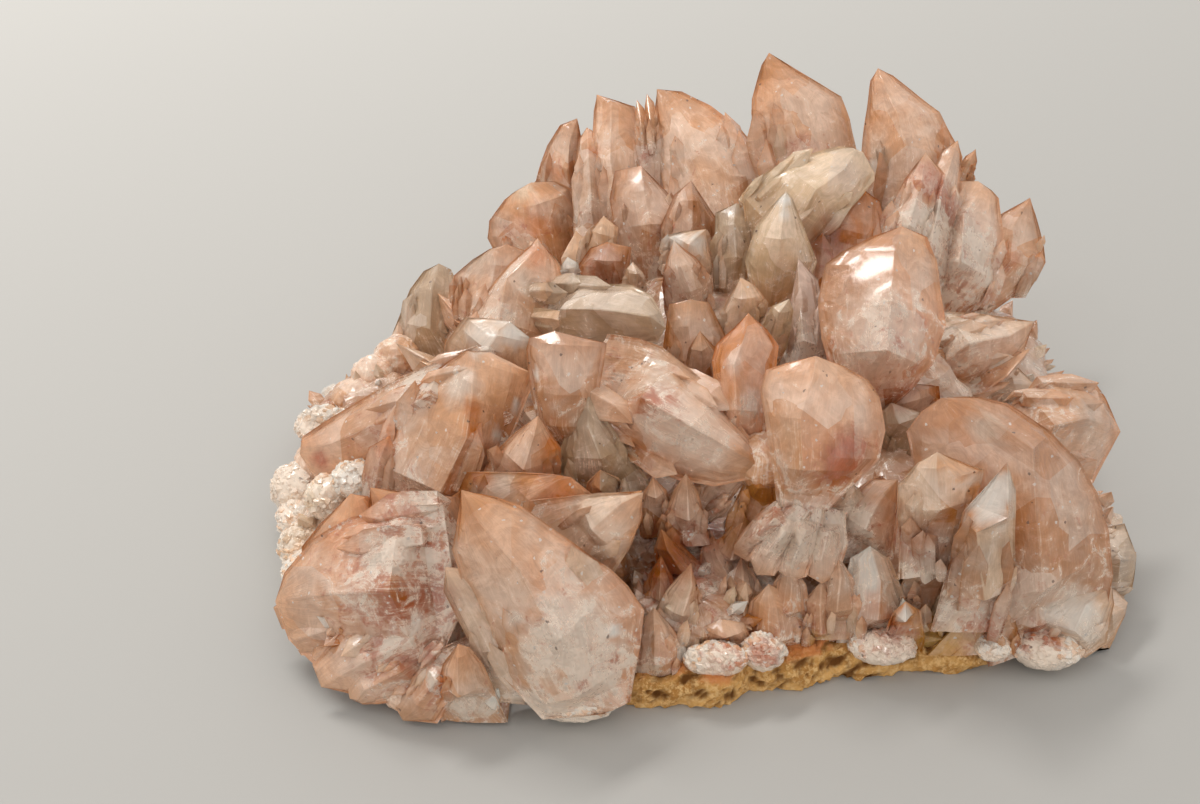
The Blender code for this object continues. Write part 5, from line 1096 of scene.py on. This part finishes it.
# The mass that the crystals stand on: overlapping rough mounds of the same calcite.
# Each is a lump with an uneven surface, kept just inside the solid's so that the crystals break through it.
MOUNDS = [
    ((14, 10, 2), (38, 32, 23)),
    ((-22, -8, 2), (26, 27, 15)),
    ((24, -15, 2), (30, 22, 14)),
    ((-5, 28, 2), (22, 14, 19)),
    ((-29, -22, 2), (19, 20, 9.5)),
    ((42, -18, 2), (16, 18, 10)),
    ((-42, -14, 3), (12, 18, 7)),
    ((-42, 6, 3), (13, 12, 7.5)),
    ((-26, 20, 3), (14, 12, 14)),
    ((38, 16, 3), (18, 18, 12)),
    ((26, -29, 3), (20, 7.5, 6)),
    ((-1, -34, 6), (9, 6, 4)),
    ((6, -25, 6), (16, 8, 4.5)),
    ((-40, -34, 6), (8, 8, 5)),
]


def lump(kind, centre, half, seed, rough=0.10, count=40, floor=0.6):
    """A rounded lump: the sphere's directions by height and turn, times the half sizes, times an uneven factor."""
    heights, turns = np.linspace(0, math.pi, count), np.arange(2 * count) * math.pi / count
    level, turn = np.meshgrid(heights, turns, indexing="ij")
    ways = np.stack([np.sin(level) * np.cos(turn), np.sin(level) * np.sin(turn), np.cos(level)], axis=-1)
    points = np.array(centre) + ways * np.array(half)
    flat = points.reshape(-1, 3)
    size = min(half)
    grow_by = 1 + rough * (waves(flat, size * 0.9, seed) * 0.6 + waves(flat, size * 0.35, seed + 1) * 0.4)
    points = np.array(centre) + ways * np.array(half) * grow_by.reshape(*level.shape, 1)
    points[..., 2] = np.maximum(points[..., 2], floor)
    rows, columns = level.shape
    row, column = np.meshgrid(np.arange(rows - 1), np.arange(columns), indexing="ij")
    after = (column + 1) % columns
    corner = np.stack([row * columns + column, row * columns + after,
                       (row + 1) * columns + after, (row + 1) * columns + column], axis=-1).reshape(-1, 4)
    first = np.arange(rows * columns)
    first[:columns] = 0
    first[-columns:] = (rows - 1) * columns
    lines = np.stack([np.stack([column + dx, row + dy], axis=-1) for dx, dy in ((0, 0), (1, 0), (1, 1), (0, 1))],
                     axis=-2).reshape(-1, 4, 2) / count
    triangles = first[np.concatenate([corner[:, (0, 2, 1)], corner[:, (0, 3, 2)]])]
    threads = np.concatenate([lines[:, (0, 2, 1)], lines[:, (0, 3, 2)]])
    whole = (triangles[:, 0] != triangles[:, 1]) & (triangles[:, 1] != triangles[:, 2]) & (triangles[:, 0] != triangles[:, 2])
    body, top, veil, red = KINDS[kind]
    number = rows * columns
    tint = body * (1 + 0.1 * waves(points.reshape(-1, 3), size * 0.6, seed + 2)[:, None])
    return dict(points=points.reshape(-1, 3), triangles=triangles[whole], threads=threads[whole], tint=tint,
                veil=np.full(number, veil), red=np.full(number, red), rim=np.zeros(number))


grow("calcite_mass", [lump("tan", centre, [size * 0.90 for size in half], 700 + number)
                      for number, (centre, half) in enumerate(MOUNDS)], PINK)

# Rounded nodules and white druse along the left side and the front foot.
NODULES = [
    ("pale_nodule", (-51, 1.5, 6.5), (4.4, 3.6, 3.0)),
    ("brown_nodule", (-50.5, -7, 7.5), (3.6, 4.2, 3.4)),
    ("white_nodule", (-53.5, -10.5, 5.5), (3.6, 4.0, 3.6)),
    ("cream_nodule", (-48, -16.5, 9), (3.2, 3.4, 3.4)),
    ("left_druse_a", (-52.5, -15, 4), (3.2, 3.6, 3.2)),
    ("left_druse_b", (-51.5, -20.5, 4), (3.2, 3.6, 3.4)),
    ("left_druse_c", (-50, -26, 4), (3.4, 4.0, 3.4)),
    ("ledge_a", (-47.5, 7.5, 7), (3.6, 3.4, 3.0)),
    ("ledge_b", (-45, 11.5, 8), (3.6, 3.4, 3.2)),
    ("ledge_c", (-42, 14.5, 9), (3.6, 3.6, 3.4)),
    ("ledge_d", (-31.3, 21.4, 14.2), (4.2, 3.6, 4.0)),
    ("ledge_e", (-26.3, 24.4, 16.2), (4.0, 3.6, 4.2)),
    ("bright_druse", (-44, -17.5, 13), (3.2, 3.0, 2.6)),
    ("front_druse_a", (1.5, -41.6, 5.2), (4.2, 2.2, 2.4)),
    ("front_druse_b", (7.3, -40.4, 5.2), (2.8, 2.4, 2.6)),
    ("front_druse_c", (22, -38.8, 4.4), (4.4, 2.4, 2.2)),
    ("front_druse_d", (35.5, -38.4, 4), (2.2, 2.0, 1.8)),
    ("front_druse_e", (42.5, -38, 3), (4.6, 2.6, 2.6)),
    ("left_foot", (-35.5, -44.5, 2.4), (3.2, 2.6, 2.4)),
    ("blade_foot", (-15.5, -46, 2.6), (5.6, 2.6, 2.6)),
    ("middle_lump", (7.5, -22, 20), (4, 4, 4)),
]

DRUSE = calcite("white_calcite_druse", 0.10, 0.5, 0.25)
PALE_ONES = ("druse", "white", "pale", "cream", "blade_foot")
grow("nodules", [lump("white" if any(word in name for word in PALE_ONES) else "pink", centre,
                      [size * 0.92 for size in half], 800 + number,
                      rough=0.07, count=24)
                 for number, (name, centre, half) in enumerate(NODULES)], DRUSE)


# Crystals round the back and both ends, leaning outwards from the middle.
RIM_SEED = 11


def sprout(kind, tip, foot, wide, deep, spin, seed):
    """A small crystal: a three-sided point, a ring of three shoulders, three lower shoulders between them, a foot."""
    lean = (tip - foot) / np.linalg.norm(tip - foot)
    around = np.cross(lean, (0.3, 0.2, 0.93))
    around /= np.linalg.norm(around)
    beside = np.cross(lean, around)
    length = np.linalg.norm(tip - foot)
    angles = spin + np.radians(60 * np.arange(6))
    odd = np.arange(6) % 2
    levels = np.array((0.0, 0.30, 0.48, 1.0))
    sizes = np.stack([np.zeros(6), np.where(odd, 0.62, 0.86), np.where(odd, 0.98, 0.84), np.full(6, 0.55)])
    ways = around * np.cos(angles)[:, None] * wide + beside * np.sin(angles)[:, None] * deep
    points = tip - lean * length * levels[:, None, None] + ways[None] * sizes[..., None]
    rows, columns = 4, 6
    row, column = np.meshgrid(np.arange(rows - 1), np.arange(columns), indexing="ij")
    after = (column + 1) % columns
    corner = np.stack([row * columns + column, row * columns + after,
                       (row + 1) * columns + after, (row + 1) * columns + column], axis=-1).reshape(-1, 4)
    lines = np.stack([np.stack([(column + dx) / 6, (row + dy) * length / 40], axis=-1)
                      for dx, dy in ((0, 0), (1, 0), (1, 1), (0, 1))], axis=-2).reshape(-1, 4, 2)
    first = np.arange(rows * columns)
    first[:columns] = 0
    triangles = first[np.concatenate([corner[:, (0, 2, 1)], corner[:, (0, 3, 2)]])]
    threads = np.concatenate([lines[:, (0, 2, 1)], lines[:, (0, 3, 2)]])
    whole = (triangles[:, 0] != triangles[:, 1]) & (triangles[:, 1] != triangles[:, 2]) & (triangles[:, 0] != triangles[:, 2])
    cap = np.array([(18, 18 + k, 19 + k) for k in range(1, 5)])
    triangles = np.concatenate([triangles[whole], cap])
    threads = np.concatenate([threads[whole], np.zeros((4, 3, 2))])
    body, top, veil, red = KINDS[kind]
    share = np.repeat((0.0, 0.45, 0.8, 1.0), 6)[:, None]
    tint = top + (body - top) * share
    return dict(points=points.reshape(-1, 3), triangles=triangles, threads=threads, tint=tint,
                veil=np.repeat((0.3, 0.6, 1.0, 1.0), 6) * veil, red=np.repeat((0.2, 0.5, 1.0, 1.0), 6) * red,
                rim=np.repeat((0.9, 0.0, 0.0, 0.0), 6))


def rim_rows():
    """Crystals round the back and both ends: three levels of points leaning out from an oval, broad faces outward."""
    rows = []
    for level, count, start, end, reach_share, low, size in (
        (0, 17, -38, 212, 1.0, 1.5, 12),
        (1, 13, -16, 194, 0.86, 8, 13),
        (2, 8, 15, 165, 0.70, 14, 12),
    ):
        for step in range(count):
            dice = random.Random(RIM_SEED + 100 * level + step)
            angle = math.radians(start + (end - start) * (step + dice.uniform(-0.25, 0.25)) / (count - 1))
            outward = np.array((math.cos(angle), math.sin(angle), 0))
            edge = np.array((46 * math.cos(angle) + 3, 40 * math.sin(angle) + 2, 0)) * reach_share
            foot = edge - outward * 7 + np.array((0, 0, low + 1.5))
            lift = (0.35, 0.75, 1.2)[level] + dice.uniform(-0.12, 0.2)
            lean = outward + np.array((dice.uniform(-0.3, 0.3), dice.uniform(-0.3, 0.3), lift))
            tip = foot + lean / np.linalg.norm(lean) * size * dice.uniform(0.8, 1.15)
            length = np.linalg.norm(tip - foot)
            wide, deep, slant = dice.uniform(3.8, 5.2), dice.uniform(2.4, 3.4), dice.uniform(-0.5, 0.5)
            along, across, face = crystal_axes(tip, foot, 0)
            wanted = outward + np.array((0, 0, 0.4))
            turn = math.degrees(math.atan2(wanted @ across, wanted @ face)) + dice.uniform(-20, 20)
            outline = [(-wide * 0.85, length * (0.34 + 0.15 * slant)), (-wide, length * 0.62), (-wide * 0.75, length),
                       (wide * 0.85, length * (0.34 - 0.15 * slant)), (wide, length * 0.60), (wide * 0.75, length)]
            crest = [(wide * slant * 0.6, length * 0.30, deep * 0.7), (wide * slant * 0.4, length, deep * 0.8)]
            kind = dice.choice(("pink", "pale", "tan", "streaked"))
            rows.append(("rim", (kind,), tip, foot, turn, deep, outline, crest))
    return rows


cluster("rim_crystals", rim_rows(), seed=11, sides=7)

# Small crystals that cover the mass wherever it shows between the great ones.
SMALL_KINDS = ("pink", "pink", "pink", "pale", "amber", "deep", "cream", "white")


def thicket(centre, half, count, seed, kinds=SMALL_KINDS, least=1.6, most=4.5, broad=0.0):
    """Small crystals over the upper part of a mound, each pointing outward from its middle with some lean."""
    dice = np.random.default_rng(seed)
    ways = dice.normal(size=(count, 3))
    ways[:, 2] = np.abs(ways[:, 2]) * 0.9 - 0.05
    ways /= np.linalg.norm(ways, axis=1, keepdims=True)
    places = np.array(centre) + ways * np.array(half) * 0.90
    leans = ways / np.array(half) + dice.normal(size=(count, 3)) * 0.35 / max(half)
    leans /= np.linalg.norm(leans, axis=1, keepdims=True)
    sizes = dice.uniform(least, most, count)
    made = []
    for place, lean, size in zip(places, leans, sizes):
        if place[2] < 1.5:
            continue
        wide = size * (dice.uniform(0.22, 0.42) + broad)
        made.append(sprout(kinds[dice.integers(len(kinds))], place + lean * size * (0.62 - broad * 0.8),
                           place - lean * size * 0.55, wide, wide * dice.uniform(0.55, 0.9), dice.uniform(0, 6), 0))
    return made


small_ones = []
for number, (centre, half) in enumerate(MOUNDS):
    small_ones += thicket(centre, half, int(half[0] * half[1] * 0.16) + 30, 900 + number)
grow("small_crystals", small_ones, PINK)

# Sugary white points over the druse.
sugar = []
for number, (name, centre, half) in enumerate(NODULES):
    if any(word in name for word in PALE_ONES):
        sugar += thicket(centre, half, 150, 1200 + number, ("white", "white", "pale"), 0.7, 1.4, 0.35)
grow("druse_points", sugar, DRUSE)

# The thin crust of ochre limonite beneath the crystals: crumbly earth, rusty yellow with darker pits,
# reddish where it meets the calcite. Its grains are one to three millimetres.
GRAIN = 0.00055
CRUST_TOP = 5.5


def limonite():
    """Ochre earth: rusty yellow grains with dark brown pits and a redder upper edge."""
    made = bpy.data.materials.new("crumbly_ochre_limonite")
    made.use_nodes = True
    tree = made.node_tree
    surface = tree.nodes["Principled BSDF"]
    place = tree.nodes.new("ShaderNodeTexCoord")
    read = tree.nodes.new("ShaderNodeAttribute")
    read.attribute_name = "pit"
    grain = add(tree, "ShaderNodeTexNoise", Scale=1600.0, Detail=5.0, Roughness=0.7)
    patch = add(tree, "ShaderNodeTexNoise", Scale=260.0, Detail=5.0, Roughness=0.65)
    for noise in (grain, patch):
        tree.links.new(place.outputs["Object"], noise.inputs["Vector"])
    parts = tree.nodes.new("ShaderNodeSeparateXYZ")
    tree.links.new(place.outputs["Object"], parts.inputs[0])
    colour = blend(tree, ramp(tree, patch.outputs["Fac"], 0.36, 0.62), linear(180, 128, 66), linear(222, 172, 104))
    colour = blend(tree, ramp(tree, grain.outputs["Fac"], 0.45, 0.62), colour, linear(232, 190, 130))
    height = total(tree, (parts.outputs[2], 1 / (CRUST_TOP * MM)), (patch.outputs["Fac"], 0.6))
    colour = blend(tree, sums(tree, "MULTIPLY", ramp(tree, height, 0.95, 1.15), 0.65), colour, linear(200, 108, 60))
    colour = blend(tree, ramp(tree, read.outputs["Fac"], 0.35, 0.85), colour, linear(110, 68, 26))
    tree.links.new(colour, surface.inputs["Base Color"])
    surface.inputs["Roughness"].default_value = 0.9
    surface.inputs["Specular IOR Level"].default_value = 0.25
    bump = add(tree, "ShaderNodeBump", Strength=0.7, Distance=0.0004)
    tree.links.new(grain.outputs["Fac"], bump.inputs["Height"])
    tree.links.new(bump.outputs[0], surface.inputs["Normal"])
    return made


def crumbly_crust():
    """The solid's crust remade as an even net, each point moved along its normal by folded waves of three lengths."""
    body = bpy.data.objects.new("limonite_crust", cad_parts["ochre_matrix"].data.copy())
    bpy.context.scene.collection.objects.link(body)
    net = body.modifiers.new("net", "REMESH")
    net.mode, net.voxel_size = "VOXEL", GRAIN
    mesh = bpy.data.meshes.new_from_object(body.evaluated_get(bpy.context.evaluated_depsgraph_get()))
    body.modifiers.clear()
    body.data = mesh
    count = len(mesh.vertices)
    points, outward = np.empty(3 * count), np.empty(3 * count)
    mesh.vertices.foreach_get("co", points)
    mesh.vertex_normals.foreach_get("vector", outward)
    points, outward = points.reshape(-1, 3) / MM, outward.reshape(-1, 3)
    lumps = 1 - 2 * np.abs(waves(points, 4.5, 31)) * 0.8
    grains = 1 - 2 * np.abs(waves(points, 1.9, 32)) * 0.8
    specks = waves(points, 0.9, 33)
    rise = 0.40 * lumps + 0.28 * grains + 0.10 * specks - 0.35
    points = points + outward * rise[:, None]
    points[:, 2] = np.maximum(points[:, 2], 0.0)
    mesh.vertices.foreach_set("co", (points * MM).ravel())
    mesh.attributes.new("pit", "FLOAT", "POINT").data.foreach_set("value", np.clip(0.30 - rise * 1.1, 0, 1))
    mesh.update()
    mesh.materials.clear()
    mesh.materials.append(limonite())
    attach(body, "root")
    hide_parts("ochre_matrix")


crumbly_crust()

# A pale sheet under the specimen, soft light from above and behind, and the camera.


def sheet():
    """The pale floor: a flat square far wider than the view."""
    mesh = bpy.data.meshes.new("floor")
    mesh.from_pydata([(-1, -1, 0), (1, -1, 0), (1, 1, 0), (-1, 1, 0)], [], [(0, 1, 2, 3)])
    body = bpy.data.objects.new("floor", mesh)
    bpy.context.scene.collection.objects.link(body)
    made = bpy.data.materials.new("pale_sheet")
    made.use_nodes = True
    made.node_tree.nodes["Principled BSDF"].inputs["Base Color"].default_value = (*linear(174, 172, 168), 1)
    made.node_tree.nodes["Principled BSDF"].inputs["Roughness"].default_value = 0.7
    mesh.materials.append(made)


def lamp(name, place, size, power, colour=(1, 1, 1)):
    """A square soft light that looks at the specimen."""
    light = bpy.data.lights.new(name, "AREA")
    light.size, light.energy, light.color = size, power, colour
    body = bpy.data.objects.new(name, light)
    bpy.context.scene.collection.objects.link(body)
    aim = np.array((0, 0, 0.01)) - np.array(place)
    aim = aim / np.linalg.norm(aim)
    body.location = place
    body.rotation_euler = (math.acos(-aim[2]), 0, math.atan2(aim[0], -aim[1]))
    return body


sheet()
lamp("ceiling", (-0.28, 0.40, 0.70), 0.34, 8.6, (1.0, 0.985, 0.96))
lamp("front", (0.00, -0.70, 0.60), 0.40, 6.8, (1.0, 0.99, 0.97))
lamp("window", (0.30, 0.55, 0.60), 0.16, 1.0)
lamp("spark_left", (-0.45, -0.10, 0.60), 0.05, 0.6)
lamp("spark_front", (0.10, -0.60, 0.45), 0.05, 0.5)
lamp("spark_right", (0.55, 0.00, 0.50), 0.05, 0.5)
world = bpy.data.worlds.new("room")
bpy.context.scene.world = world
world.use_nodes = True
world.node_tree.nodes["Background"].inputs["Color"].default_value = (1.0, 0.98, 0.95, 1)
world.node_tree.nodes["Background"].inputs["Strength"].default_value = 0.92

CAMERA_HEIGHT = 38.0
CAMERA_DISTANCE = 0.253
LOOK_AT = (-0.0125, 0.0155, 0.0)
camera = bpy.data.cameras.new("camera")
camera.sensor_width, camera.lens = 36.0, 51.0
view = bpy.data.objects.new("camera", camera)
bpy.context.scene.collection.objects.link(view)
height = math.radians(CAMERA_HEIGHT)
view.location = (LOOK_AT[0], LOOK_AT[1] - CAMERA_DISTANCE * math.cos(height), CAMERA_DISTANCE * math.sin(height))
view.rotation_euler = (math.radians(90 - CAMERA_HEIGHT), 0, 0)
bpy.context.scene.camera = view
bpy.context.scene.view_settings.view_transform = "Standard"
